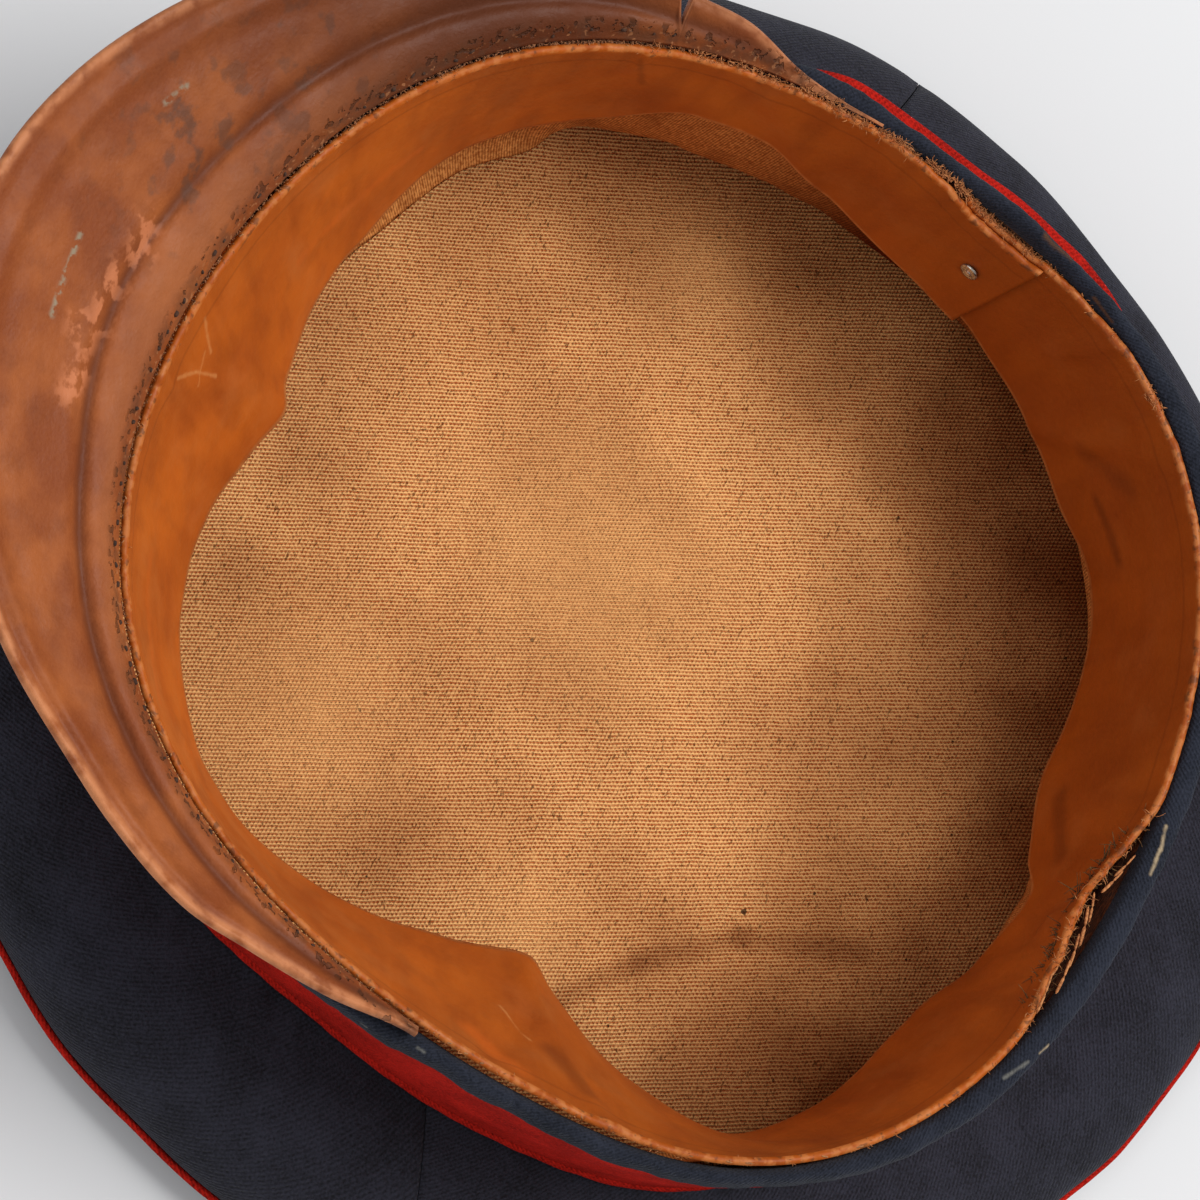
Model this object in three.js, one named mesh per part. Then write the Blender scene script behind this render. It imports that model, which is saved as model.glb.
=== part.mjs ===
// A cloth visor cap lying upside down on its crown, open side up.
// Millimetres, +Z up, the visor towards -Y. Angles go round the cap in degrees,
// 0 at the middle of the visor, 90 at +X, 180 at the back.
import * as THREE from 'three';

// The rim is the line where the sweatband meets the cloth, the head's outline.
const RIM_RADIUS = 89.7;
const RIM_HEIGHT = 61.4;
const RIM_RISE = 0.064; // the cap is this much taller per mm towards the visor
const RIM_WAVES = [
  { turns: 2, cosine: 2.8, sine: 0.3 },
  { turns: 3, cosine: 1.5, sine: 0.2 },
  { turns: 4, cosine: -1.8, sine: 1.3 },
];

// The band wall between the rim and the crown
const BAND_DEPTH = 39.4;
const BAND_SHIFT = { x: -1, y: -1.2 }; // how far the wall's deep end sits off the rim's middle
// On one side the rim is pressed in a little, and the wall leans in below it
const RIM_DENT = { angle: 98, spread: 13, depth: 0.8 };
const WALL_LEAN = [
  { angle: -60, inward: 0 },
  { angle: 10, inward: 0 },
  { angle: 35, inward: 1.5 },
  { angle: 57, inward: 3.0 },
  { angle: 74, inward: 3.1 },
  { angle: 83, inward: 2.3 },
  { angle: 93, inward: 1.3 },
  { angle: 105, inward: 1.0 },
  { angle: 120, inward: 0 },
  { angle: 180, inward: 0 },
];
const STEP = 6; // degrees between sections
const GAP = 0.3;
const CLOTH = 1.4;
const STIFFENER = 1.2;
const BAND_PIPING_RADIUS = 1.5;
const CROWN_PIPING_RADIUS = 0.65;

// The crown is an oval, wider than the head, and its middle lies behind the rim's
const CROWN_HALF_WIDTH = 118.4;
const CROWN_HALF_LENGTH = 124.7;
const CROWN_MIDDLE = { x: -3.7, y: 7.4 };
// How far the crown's edge is set in from the even oval
const CROWN_EDGE = [
  { angle: -140, inset: 0.4 },
  { angle: -125, inset: 1.1 },
  { angle: -116, inset: 1.8 },
  { angle: -105, inset: 0.7 },
  { angle: -98, inset: 0.1 },
  { angle: -88, inset: -0.6 },
  { angle: -78, inset: 0.8 },
  { angle: -60, inset: -0.1 },
  { angle: 0, inset: 0 },
  { angle: 52, inset: 0 },
  { angle: 60, inset: -0.5 },
  { angle: 68, inset: 0.1 },
  { angle: 76, inset: -0.3 },
  { angle: 110, inset: 0 },
  { angle: 151, inset: 1.1 },
  { angle: 158, inset: 0.2 },
  { angle: 164, inset: 0.4 },
  { angle: 171, inset: -0.2 },
];
const CROWN_PIPING_HEIGHT = 6.7;
const CROWN_SIDE_SEAMS = { right: 92, left: -94.5 };
const CROWN_CLOTH = 1.7;

// The visor is a crescent that rises away from the rim
const VISOR_SLOPE = 35;
const VISOR_THICKNESS = 2.2;
const VISOR_ROOT = 0.1;
const VISOR_STEP = 4;
const VISOR_SLIT = { angle: -64.7, half: 0.45, left: 2.2 };
const VISOR_ENDS = { from: -90, to: 80 };
const VISOR_WIDTHS = [
  { angle: -90, width: 0.6 },
  { angle: -84, width: 0.9 },
  { angle: -78, width: 2.0 },
  { angle: -72, width: 4.6 },
  { angle: -66, width: 6.4 },
  { angle: -58, width: 9.8 },
  { angle: -46, width: 14.6 },
  { angle: -34, width: 19.8 },
  { angle: -24, width: 25.2 },
  { angle: -16, width: 29.4 },
  { angle: -8, width: 33.0 },
  { angle: 0, width: 35.0 },
  { angle: 8, width: 33.8 },
  { angle: 16, width: 30.4 },
  { angle: 24, width: 26.0 },
  { angle: 32, width: 21.2 },
  { angle: 40, width: 16.4 },
  { angle: 47, width: 14.2 },
  { angle: 56, width: 11.8 },
  { angle: 62, width: 8.4 },
  { angle: 70, width: 5.0 },
  { angle: 80, width: 1.0 },
];
// Relief of the visor's inner face: a roll at the seam, a groove, the field and the stitched border
const VISOR_RELIEF = [
  { across: 0, rise: 0 },
  { across: 0.12, rise: 1.0 },
  { across: 0.28, rise: -1.1 },
  { across: 0.5, rise: 0.4 },
  { across: 0.78, rise: -0.2 },
  { across: 0.85, rise: 0.5 },
  { across: 0.92, rise: -0.3 },
  { across: 1, rise: 0.2 },
];

// The navy strip that binds the rim: how wide it is on top and how deep it laps the outside
const RIM_STRIP = [
  { angle: -140, width: 5.0, skirt: 6.5 },
  { angle: -125, width: 3.7, skirt: 5.5 },
  { angle: -112, width: 3.2, skirt: 4.8 },
  { angle: -100, width: 3.2, skirt: 4.8 },
  { angle: -93, width: 3.7, skirt: 5.2 },
  { angle: -86, width: 5.0, skirt: 5.8 },
  { angle: -70, width: 3.8, skirt: 7.6 },
  { angle: 0, width: 3.4, skirt: 7.6 },
  { angle: 64, width: 4.8, skirt: 5.5 },
  { angle: 76, width: 4.4, skirt: 4.2 },
  { angle: 86, width: 3.3, skirt: 4.0 },
  { angle: 104, width: 3.2, skirt: 4.0 },
  { angle: 116, width: 3.3, skirt: 4.6 },
  { angle: 128, width: 3.9, skirt: 6.5 },
  { angle: 145, width: 5.0, skirt: 6.5 },
  { angle: 180, width: 4.6, skirt: 6.5 },
];
// On the far side the red band pouches out past the strip
const BAND_POUCH = [
  { angle: -142, out: 0 },
  { angle: -128, out: 3.6 },
  { angle: -120, out: 5.3 },
  { angle: -110, out: 5.8 },
  { angle: -101, out: 5.2 },
  { angle: -93, out: 5.9 },
  { angle: -85, out: 4.6 },
  { angle: -74, out: 1.2 },
  { angle: -64, out: 0 },
  { angle: 40, out: 0 },
  { angle: 180, out: 0 },
];

// The leather sweatband is sewn at the rim and its free edge leans into the cap in folds
const SWEATBAND_THICKNESS = 1.3;
const SWEATBAND_STEP = 4.5;
const SWEATBAND_LAP = { end: -115, length: 12, step: 1.7 };
const SWEATBAND_EDGE = [
  { angle: -175, lean: 5.5, depth: 36 },
  { angle: -163, lean: 3.5, depth: 36 },
  { angle: -150, lean: 2.1, depth: 35 },
  { angle: -139, lean: 4.5, depth: 36 },
  { angle: -124, lean: 2.8, depth: 36 },
  { angle: -115, lean: 2.1, depth: 34 },
  { angle: -108, lean: 2.1, depth: 31.5 },
  { angle: -92, lean: 2.1, depth: 27 },
  { angle: -82, lean: 2.1, depth: 20 },
  { angle: -72, lean: 2.1, depth: 19 },
  { angle: -63, lean: 2.1, depth: 33 },
  { angle: -46, lean: 6.5, depth: 36 },
  { angle: -32, lean: 12.8, depth: 36 },
  { angle: -20, lean: 16.7, depth: 36 },
  { angle: -9, lean: 21.7, depth: 36 },
  { angle: -4, lean: 24.4, depth: 36 },
  { angle: 3, lean: 23.3, depth: 36 },
  { angle: 14, lean: 19.8, depth: 36 },
  { angle: 30, lean: 15.3, depth: 36 },
  { angle: 50, lean: 10.6, depth: 36 },
  { angle: 67, lean: 12.0, depth: 36 },
  { angle: 84, lean: 18.4, depth: 36 },
  { angle: 98, lean: 24.4, depth: 36 },
  { angle: 105, lean: 19.7, depth: 36 },
  { angle: 117, lean: 10.8, depth: 36 },
  { angle: 128, lean: 3.2, depth: 36 },
  { angle: 153, lean: 4.6, depth: 36 },
  { angle: 162, lean: 2.1, depth: 35 },
  { angle: 172, lean: 2.1, depth: 29 },
  { angle: 177, lean: 2.5, depth: 35 },
];
// Where the sweatband's sewn edge has torn loose or sits low
const SWEATBAND_SEAM = [
  { angle: -130, inward: 0, drop: 0.4 },
  { angle: -120, inward: 0, drop: 2.4 },
  { angle: -108, inward: 0, drop: 4.6 },
  { angle: -97, inward: 0, drop: 0.4 },
  { angle: 0, inward: 0, drop: 0 },
  { angle: 150, inward: 0, drop: 0.4 },
  { angle: 161, inward: 2.6, drop: 1.0 },
  { angle: 170, inward: 4.6, drop: 1.0 },
  { angle: 178, inward: 1.8, drop: 0.8 },
  { angle: 184, inward: 0, drop: 0.4 },
];
const RIVET = { angle: -110.5, depth: 17, radius: 1.7, rise: 0.9 };

// The lining: a side strip from behind the sweatband, and a ribbed cloth over the crown
const LINING = 1.1;
const LINING_TOP_DEPTH = 31;
const LINING_EDGE_HEIGHT = 9.4;
const LINING_MIDDLE_HEIGHT = 5.6;
const LINING_EDGE = [
  { angle: -157, out: 2.6 },
  { angle: -140, out: 2.2 },
  { angle: -115, out: 5 },
  { angle: -84, out: 7.4 },
  { angle: -72, out: 4.8 },
  { angle: -64, out: 0.6 },
  { angle: -51, out: -6.8 },
  { angle: -36, out: -14.5 },
  { angle: -10, out: -15 },
  { angle: 40, out: -9 },
  { angle: 90, out: -3.4 },
  { angle: 134, out: -3.4 },
  { angle: 153, out: -2.4 },
  { angle: 168, out: 4 },
];
const LINING_SWELLS = [
  { x: 0, y: -5, rise: 0.9, spread: 26 },
  { x: -38, y: -30, rise: -0.7, spread: 20 },
  { x: 48, y: -22, rise: -0.6, spread: 18 },
  { x: 30, y: 42, rise: 0.8, spread: 22 },
  { x: -45, y: 40, rise: 0.7, spread: 20 },
];

const COLOURS = {
  navy: { color: 0x23263a, roughness: 0.95, metalness: 0 },
  red: { color: 0xb3221c, roughness: 0.9, metalness: 0 },
  visor: { color: 0x7d4020, roughness: 0.5, metalness: 0 },
  sweatband: { color: 0xa55016, roughness: 0.55, metalness: 0 },
  lining: { color: 0xb97a44, roughness: 0.9, metalness: 0 },
  stiffener: { color: 0x4a2c16, roughness: 0.9, metalness: 0 },
  steel: { color: 0x8f8a80, roughness: 0.4, metalness: 0.9 },
};

const radians = THREE.MathUtils.degToRad;

// Smooth value of one column of a table, at any angle round the cap
function around(table, angle, column) {
  const rows = [...table].sort((a, b) => a.angle - b.angle);
  const count = rows.length;
  const row = (i) => {
    const turn = Math.floor(i / count);
    const source = rows[i - turn * count];
    return { angle: source.angle + 360 * turn, value: source[column] };
  };
  const first = rows[0].angle;
  const wrapped = first + ((((angle - first) % 360) + 360) % 360);
  let i = 0;
  while (row(i + 1).angle <= wrapped) i += 1;
  const [a, b, c, d] = [row(i - 1), row(i), row(i + 1), row(i + 2)];
  const span = c.angle - b.angle;
  const slopeB = ((c.value - a.value) / (c.angle - a.angle)) * span;
  const slopeC = ((d.value - b.value) / (d.angle - b.angle)) * span;
  const s = (wrapped - b.angle) / span;
  const blend = s * s * (3 - 2 * s);
  const bend = s * (1 - s) * ((1 - s) * slopeB - s * slopeC);
  return b.value + (c.value - b.value) * blend + bend * easing(b.value, c.value, slopeB, slopeC);
}

// Keeps a curve between two rows from swinging past them where the rows are level
function easing(valueB, valueC, slopeB, slopeC) {
  const rise = Math.abs(valueC - valueB);
  const steepest = Math.max(Math.abs(slopeB), Math.abs(slopeC));
  return steepest < 1e-6 ? 0 : Math.min(1, (2.5 * rise) / steepest);
}

// Heading from the cap's middle, in plan
function heading(angle) {
  const a = radians(angle);
  return { x: Math.sin(a), y: -Math.cos(a) };
}

function rimRadius(angle) {
  const a = radians(angle);
  const wave = ({ turns, cosine, sine }) => cosine * Math.cos(turns * a) + sine * Math.sin(turns * a);
  const away = ((angle - RIM_DENT.angle + 540) % 360) - 180;
  const dent = RIM_DENT.depth * Math.exp(-((away / RIM_DENT.spread) ** 2));
  return RIM_WAVES.reduce((radius, row) => radius + wave(row), RIM_RADIUS - dent);
}

function rimHeight(angle) {
  return RIM_HEIGHT - RIM_RISE * rimRadius(angle) * heading(angle).y;
}

// A point outside (+) or inside (-) the rim line, and some way down from it
function rimPoint(angle, out, down) {
  const way = heading(angle);
  const share = Math.max(0, down) / BAND_DEPTH;
  const radius = rimRadius(angle) + out - share * around(WALL_LEAN, angle, 'inward');
  return new THREE.Vector3(
    radius * way.x + BAND_SHIFT.x * share,
    radius * way.y + BAND_SHIFT.y * share,
    rimHeight(angle) - down,
  );
}

// A point of the crown, set in from the line of its piping
function crownPoint(angle, inset, height) {
  const way = heading(angle);
  const inward = inset + around(CROWN_EDGE, angle, 'inset');
  return new THREE.Vector3(
    CROWN_MIDDLE.x + (CROWN_HALF_WIDTH - inward) * way.x,
    CROWN_MIDDLE.y + (CROWN_HALF_LENGTH - inward) * way.y,
    height,
  );
}

function anglesFrom(first, last, step) {
  const count = Math.max(1, Math.round((last - first) / step));
  return Array.from({ length: count + 1 }, (_, i) => first + ((last - first) * i) / count);
}

// A solid from its points and triangles, turned so that its faces point out
function solid(points, triangles) {
  let volume = 0;
  for (const [a, b, c] of triangles) {
    volume += points[a].dot(new THREE.Vector3().crossVectors(points[b], points[c]));
  }
  const turned = volume < 0 ? triangles.map(([a, b, c]) => [a, c, b]) : triangles;
  const geometry = new THREE.BufferGeometry().setFromPoints(points);
  geometry.setIndex(turned.flat());
  geometry.computeVertexNormals();
  return geometry;
}

// Triangles of the skin between sections that follow each other
function skin(sectionCount, size, closed) {
  const triangles = [];
  const last = closed ? sectionCount : sectionCount - 1;
  for (let i = 0; i < last; i += 1) {
    for (let j = 0; j < size; j += 1) {
      const a = i * size + j;
      const b = i * size + ((j + 1) % size);
      const c = ((i + 1) % sectionCount) * size + j;
      const d = ((i + 1) % sectionCount) * size + ((j + 1) % size);
      triangles.push([a, c, b], [b, c, d]);
    }
  }
  return triangles;
}

// A ring: the section goes all the way round
function ring(section, step) {
  const sections = anglesFrom(0, 360 - step, step).map(section);
  return solid(sections.flat(), skin(sections.length, sections[0].length, true));
}

// A strip: the section goes part of the way round, and each end is closed flat
function strip(section, angles) {
  const sections = angles.map(section);
  const size = sections[0].length;
  const triangles = skin(sections.length, size, false);
  const turn = (outline) => Math.sign(THREE.ShapeUtils.area(outline));
  const cap = (index, atStart) => {
    const way = heading(angles[index]);
    const flat = sections[index].map((p) => new THREE.Vector2(p.x * way.x + p.y * way.y, p.z));
    for (const face of THREE.ShapeUtils.triangulateShape(flat, [])) {
      const follows = turn(face.map((k) => flat[k])) === turn(flat);
      const corners = face.map((k) => k + index * size);
      triangles.push(follows === atStart ? corners : corners.reverse());
    }
  };
  cap(0, true);
  cap(sections.length - 1, false);
  return solid(sections.flat(), triangles);
}

// A round plate: rings of points from the middle of its under side, out and back to the middle
function plate(ringPoints, under, over) {
  const size = ringPoints[0].length;
  const points = [under, ...ringPoints.flat(), over];
  const triangles = [];
  const last = ringPoints.length - 1;
  for (let j = 0; j < size; j += 1) {
    const k = (j + 1) % size;
    triangles.push([0, 1 + k, 1 + j], [points.length - 1, 1 + last * size + j, 1 + last * size + k]);
    for (let i = 0; i < last; i += 1) {
      const a = 1 + i * size + j;
      const b = 1 + i * size + k;
      triangles.push([a, b, a + size], [b, b + size, a + size]);
    }
  }
  return solid(points, triangles);
}

// The piping's round section, a hexagon
function pipingSection(centre, angle, radius) {
  const way = heading(angle);
  return anglesFrom(0, 300, 60).map((turn) => {
    const across = radius * Math.cos(radians(turn));
    const up = radius * Math.sin(radians(turn));
    return new THREE.Vector3(centre.x + across * way.x, centre.y + across * way.y, centre.z + up);
  });
}

function makeCrownTop() {
  const profile = [
    { inset: 60, height: 0 },
    { inset: 9, height: 0 },
    { inset: 4, height: 0.5 },
    { inset: 1.4, height: 1.9 },
    { inset: 0, height: 3.5 },
    { inset: 0.4, height: 5.7 },
    { inset: 2.4, height: 4.6 },
    { inset: 8, height: 2.3 },
    { inset: 60, height: 2 },
  ];
  const angles = anglesFrom(0, 360 - STEP, STEP);
  const rings = profile.map(({ inset, height }) => angles.map((a) => crownPoint(a, inset, height)));
  const middle = (height) => new THREE.Vector3(CROWN_MIDDLE.x, CROWN_MIDDLE.y, height);
  return plate(rings, middle(0), middle(2));
}

function makeCrownPiping() {
  return ring((angle) => {
    const centre = crownPoint(angle, 0, CROWN_PIPING_HEIGHT);
    return pipingSection(centre, angle, CROWN_PIPING_RADIUS);
  }, STEP);
}

// The puffed side of the crown, from under the band's piping out to the crown's piping
function crownSideSection(angle) {
  const pointCount = 7;
  const puff = { reach: 0.45, rise: 1.8, shoulder: 0.6, overhang: 0.3 };
  const inner = rimPoint(angle, 2.6, BAND_DEPTH + BAND_PIPING_RADIUS + 2 * GAP);
  const outer = crownPoint(angle, 0.45, CROWN_PIPING_HEIGHT + CROWN_PIPING_RADIUS + GAP);
  const reach = Math.hypot(outer.x - inner.x, outer.y - inner.y);
  const top = inner.z + puff.rise;
  const curve = new THREE.CubicBezierCurve(
    new THREE.Vector2(0, inner.z),
    new THREE.Vector2(reach * puff.reach, top),
    new THREE.Vector2(reach + puff.overhang, THREE.MathUtils.lerp(outer.z, top, puff.shoulder)),
    new THREE.Vector2(reach, outer.z),
  );
  const place = (p) => new THREE.Vector3(
    inner.x + ((outer.x - inner.x) * p.x) / reach,
    inner.y + ((outer.y - inner.y) * p.x) / reach,
    p.y,
  );
  const over = [];
  const under = [];
  for (let i = 0; i < pointCount; i += 1) {
    const share = i / (pointCount - 1);
    const point = curve.getPoint(share);
    const along = curve.getTangent(share);
    over.push(place(point));
    under.unshift(place(new THREE.Vector2(point.x + along.y * CROWN_CLOTH, point.y - along.x * CROWN_CLOTH)));
  }
  return [...over, ...under];
}

function makeCrownSide(from, to) {
  const seamGap = 0.1;
  return strip(crownSideSection, anglesFrom(from + seamGap, to - seamGap, STEP));
}

function makeRimStrip() {
  return ring((angle) => {
    const width = around(RIM_STRIP, angle, 'width');
    const skirt = around(RIM_STRIP, angle, 'skirt');
    const inner = width - CLOTH;
    return [
      rimPoint(angle, 0.2, 1.4),
      rimPoint(angle, 0.8, 0.2),
      rimPoint(angle, width / 2, -0.3),
      rimPoint(angle, width - 0.6, 0.2),
      rimPoint(angle, width, 1.6),
      rimPoint(angle, width, skirt),
      rimPoint(angle, inner, skirt),
      rimPoint(angle, inner, 3.2),
      rimPoint(angle, 0.2, 3.2),
    ];
  }, STEP);
}

function makeBand() {
  const deepOut = 3;
  return ring((angle) => {
    const top = around(RIM_STRIP, angle, 'width') - 0.1;
    const skirt = around(RIM_STRIP, angle, 'skirt');
    const pouch = around(BAND_POUCH, angle, 'out');
    const face = [
      { out: top, down: skirt + GAP },
      { out: top + pouch, down: skirt + 3 },
      { out: deepOut + 0.3 * pouch, down: 20 },
      { out: deepOut, down: BAND_DEPTH - 2 },
    ];
    const outer = face.map(({ out, down }) => rimPoint(angle, out, down));
    const inner = face.map(({ out, down }) => rimPoint(angle, out - CLOTH + 0.1, down));
    return [...outer, ...inner.reverse()];
  }, STEP);
}

function makeBandPiping() {
  return ring((angle) => {
    const centre = rimPoint(angle, 2.2, BAND_DEPTH);
    return pipingSection(centre, angle, BAND_PIPING_RADIUS);
  }, STEP);
}

function makeStiffener() {
  const inside = 0.2;
  return ring((angle) => [
    rimPoint(angle, inside, 3.6),
    rimPoint(angle, inside + STIFFENER, 3.6),
    rimPoint(angle, inside + STIFFENER, BAND_DEPTH - 2.2),
    rimPoint(angle, inside, BAND_DEPTH - 2.2),
  ], STEP);
}

// How far the sweatband's outer face stands in from the rim line, at a share of its depth
function sweatbandInset(angle, share) {
  const lean = around(SWEATBAND_EDGE, angle, 'lean');
  const loose = around(SWEATBAND_SEAM, angle, 'inward');
  return GAP + lean * share ** 1.15 + loose * (1 - share) ** 2;
}

function sweatbandSection(angle, lift) {
  const stepCount = 4;
  const top = around(SWEATBAND_SEAM, angle, 'drop') - 0.6;
  const edge = around(SWEATBAND_EDGE, angle, 'depth');
  const outer = [];
  const inner = [];
  for (let i = 0; i <= stepCount; i += 1) {
    const share = i / stepCount;
    const inset = sweatbandInset(angle, share) + lift;
    const down = top + (edge - top) * share;
    outer.push(rimPoint(angle, -inset, down));
    inner.unshift(rimPoint(angle, -inset - SWEATBAND_THICKNESS, down));
  }
  return [...outer, ...inner];
}

// One long strip whose first end laps over its last
function makeSweatband() {
  const { end, length, step } = SWEATBAND_LAP;
  const angles = anglesFrom(end, end + 360 + length, SWEATBAND_STEP);
  return strip((angle) => {
    const past = angle - end;
    const lift = past < 2 * length ? step * THREE.MathUtils.smoothstep(2 * length - past, 0, length) : 0;
    return sweatbandSection(angle, lift);
  }, angles);
}

function makeRivet() {
  const { angle, depth, radius, rise } = RIVET;
  const share = depth / around(SWEATBAND_EDGE, angle, 'depth');
  const face = sweatbandInset(angle, share) + SWEATBAND_LAP.step + SWEATBAND_THICKNESS + GAP;
  const profile = [
    new THREE.Vector2(0, 0),
    new THREE.Vector2(radius, 0),
    new THREE.Vector2(radius * 0.8, rise * 0.7),
    new THREE.Vector2(0, rise),
  ];
  const geometry = new THREE.LatheGeometry(profile, 12);
  const mesh = new THREE.Mesh(geometry);
  const way = heading(angle);
  mesh.position.copy(rimPoint(angle, -face, depth));
  mesh.quaternion.setFromUnitVectors(new THREE.Vector3(0, 1, 0), new THREE.Vector3(-way.x, -way.y, 0));
  return mesh;
}

function visorWidth(angle) {
  const width = around(VISOR_WIDTHS, angle, 'width');
  const inSlit = Math.abs(angle - VISOR_SLIT.angle) < VISOR_SLIT.half / 2;
  return inSlit ? VISOR_SLIT.left : width;
}

function visorSection(angle) {
  const width = visorWidth(angle);
  const slope = Math.tan(radians(VISOR_SLOPE));
  const depthOfRelief = Math.min(1, width / 18);
  const rootRise = 0.5 + VISOR_THICKNESS;
  const innerFace = VISOR_RELIEF.map(({ across, rise }) => {
    const out = VISOR_ROOT + width * across;
    return rimPoint(angle, out, -(rootRise + slope * width * across + rise * depthOfRelief));
  });
  const outerFace = [1, 0.7, 0.35, 0].map((across) => {
    const out = VISOR_ROOT + width * across;
    return rimPoint(angle, out, -(0.6 + slope * width * across));
  });
  return [...innerFace, ...outerFace];
}

function makeVisor() {
  const { angle, half } = VISOR_SLIT;
  const { from, to } = VISOR_ENDS;
  const before = anglesFrom(from, angle - half, VISOR_STEP);
  const after = anglesFrom(angle + half, to, VISOR_STEP);
  return strip(visorSection, [...before, angle, ...after]);
}

function liningEdge(angle, out, height) {
  const point = rimPoint(angle, around(LINING_EDGE, angle, 'out') + out, 0);
  point.z = height;
  return point;
}

// The side strip hangs from behind the sweatband to the edge of the ribbed cloth
function makeLiningSide() {
  const face = 0.15;
  return ring((angle) => {
    const top = Math.min(LINING_TOP_DEPTH, around(SWEATBAND_EDGE, angle, 'depth') - 6);
    const hem = liningEdge(angle, 0, LINING_EDGE_HEIGHT + GAP);
    const high = rimPoint(angle, -face, top);
    const low = rimPoint(angle, -face, BAND_DEPTH - 3);
    const middle = low.clone().lerp(hem, 0.3);
    middle.z = THREE.MathUtils.lerp(hem.z, low.z, 0.28);
    const way = heading(angle);
    const inside = (p) => new THREE.Vector3(p.x - LINING * way.x, p.y - LINING * way.y, p.z);
    const wall = [high, low, middle, hem];
    return [...wall, ...wall.map(inside).reverse()];
  }, STEP);
}

// Height of the ribbed cloth's upper face, at a share of the way out from the middle
function liningHeight(x, y, share) {
  const bowl = LINING_MIDDLE_HEIGHT + (LINING_EDGE_HEIGHT - LINING_MIDDLE_HEIGHT) * share ** 3;
  const swell = (row) => row.rise * Math.exp(-(((x - row.x) ** 2 + (y - row.y) ** 2) / row.spread ** 2));
  const fade = 1 - share ** 4;
  return LINING_SWELLS.reduce((height, row) => height + fade * swell(row), bowl);
}

function makeLiningTop() {
  const shares = [0.3, 0.55, 0.78, 1];
  const angles = anglesFrom(0, 360 - STEP, STEP);
  const ringAt = (share, drop) => angles.map((angle) => {
    const edge = liningEdge(angle, 0.4, 0);
    const [x, y] = [edge.x * share, edge.y * share];
    return new THREE.Vector3(x, y, liningHeight(x, y, share) - drop);
  });
  const under = shares.map((share) => ringAt(share, LINING));
  const over = shares.map((share) => ringAt(share, 0)).reverse();
  const middle = liningHeight(0, 0, 0);
  return plate([...under, ...over], new THREE.Vector3(0, 0, middle - LINING), new THREE.Vector3(0, 0, middle));
}

const cap = new THREE.Group();

function add(name, colour, shape) {
  const mesh = shape.isMesh ? shape : new THREE.Mesh(shape);
  mesh.name = name;
  mesh.material = new THREE.MeshStandardMaterial(COLOURS[colour]);
  cap.add(mesh);
}

add('crown_top', 'navy', makeCrownTop());
add('crown_piping', 'red', makeCrownPiping());
add('crown_side_front', 'navy', makeCrownSide(CROWN_SIDE_SEAMS.left, CROWN_SIDE_SEAMS.right));
add('crown_side_back', 'navy', makeCrownSide(CROWN_SIDE_SEAMS.right, 360 + CROWN_SIDE_SEAMS.left));
add('band', 'red', makeBand());
add('band_piping', 'red', makeBandPiping());
add('band_stiffener', 'stiffener', makeStiffener());
add('rim_strip', 'navy', makeRimStrip());
add('visor', 'visor', makeVisor());
add('sweatband', 'sweatband', makeSweatband());
add('sweatband_rivet', 'steel', makeRivet());
add('lining_side', 'lining', makeLiningSide());
add('lining_top', 'lining', makeLiningTop());

// The cap stands on z = 0 with the middle of its box over the origin
cap.updateMatrixWorld(true);
const box = new THREE.Box3().setFromObject(cap, true);
const middle = box.getCenter(new THREE.Vector3());
cap.position.set(-middle.x, -middle.y, -box.min.z);

export default cap;
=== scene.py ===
import math
import random

import bpy
from mathutils import Matrix, Vector, noise
from mathutils.bvhtree import BVHTree


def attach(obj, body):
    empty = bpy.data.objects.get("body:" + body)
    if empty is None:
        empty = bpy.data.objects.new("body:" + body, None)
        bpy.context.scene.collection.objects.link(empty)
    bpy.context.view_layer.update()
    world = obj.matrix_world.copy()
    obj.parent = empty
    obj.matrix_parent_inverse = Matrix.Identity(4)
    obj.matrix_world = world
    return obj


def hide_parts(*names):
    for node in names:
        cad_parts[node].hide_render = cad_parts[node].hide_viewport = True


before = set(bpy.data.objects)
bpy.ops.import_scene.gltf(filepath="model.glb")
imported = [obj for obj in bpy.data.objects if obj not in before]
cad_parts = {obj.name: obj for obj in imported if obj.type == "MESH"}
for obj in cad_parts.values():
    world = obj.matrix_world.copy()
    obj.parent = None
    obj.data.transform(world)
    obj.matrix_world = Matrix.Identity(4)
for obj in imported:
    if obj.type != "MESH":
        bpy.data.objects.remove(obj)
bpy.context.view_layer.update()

# Lengths are millimetres until a mesh is made. Angles go round the cap in degrees,
# 0 at the middle of the visor, 90 at +X, 180 at the back.
MM = 0.001


def table(columns, *rows):
    names = columns.split()
    return [dict(zip(names, row)) for row in rows]


# The camera, and the picture's frame in pixels
CAMERA_PLACE = Vector((198.40, -157.60, 662.17))
CAMERA_RIGHT = Vector((-0.36583, 0.87432, 0.31894))
CAMERA_UP = Vector((-0.88490, -0.43293, 0.17180))
CAMERA_AHEAD = Vector((-0.28829, 0.21938, -0.93207))
SENSOR = 36.0
LENS = 123.15
PICTURE = 1200

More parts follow.
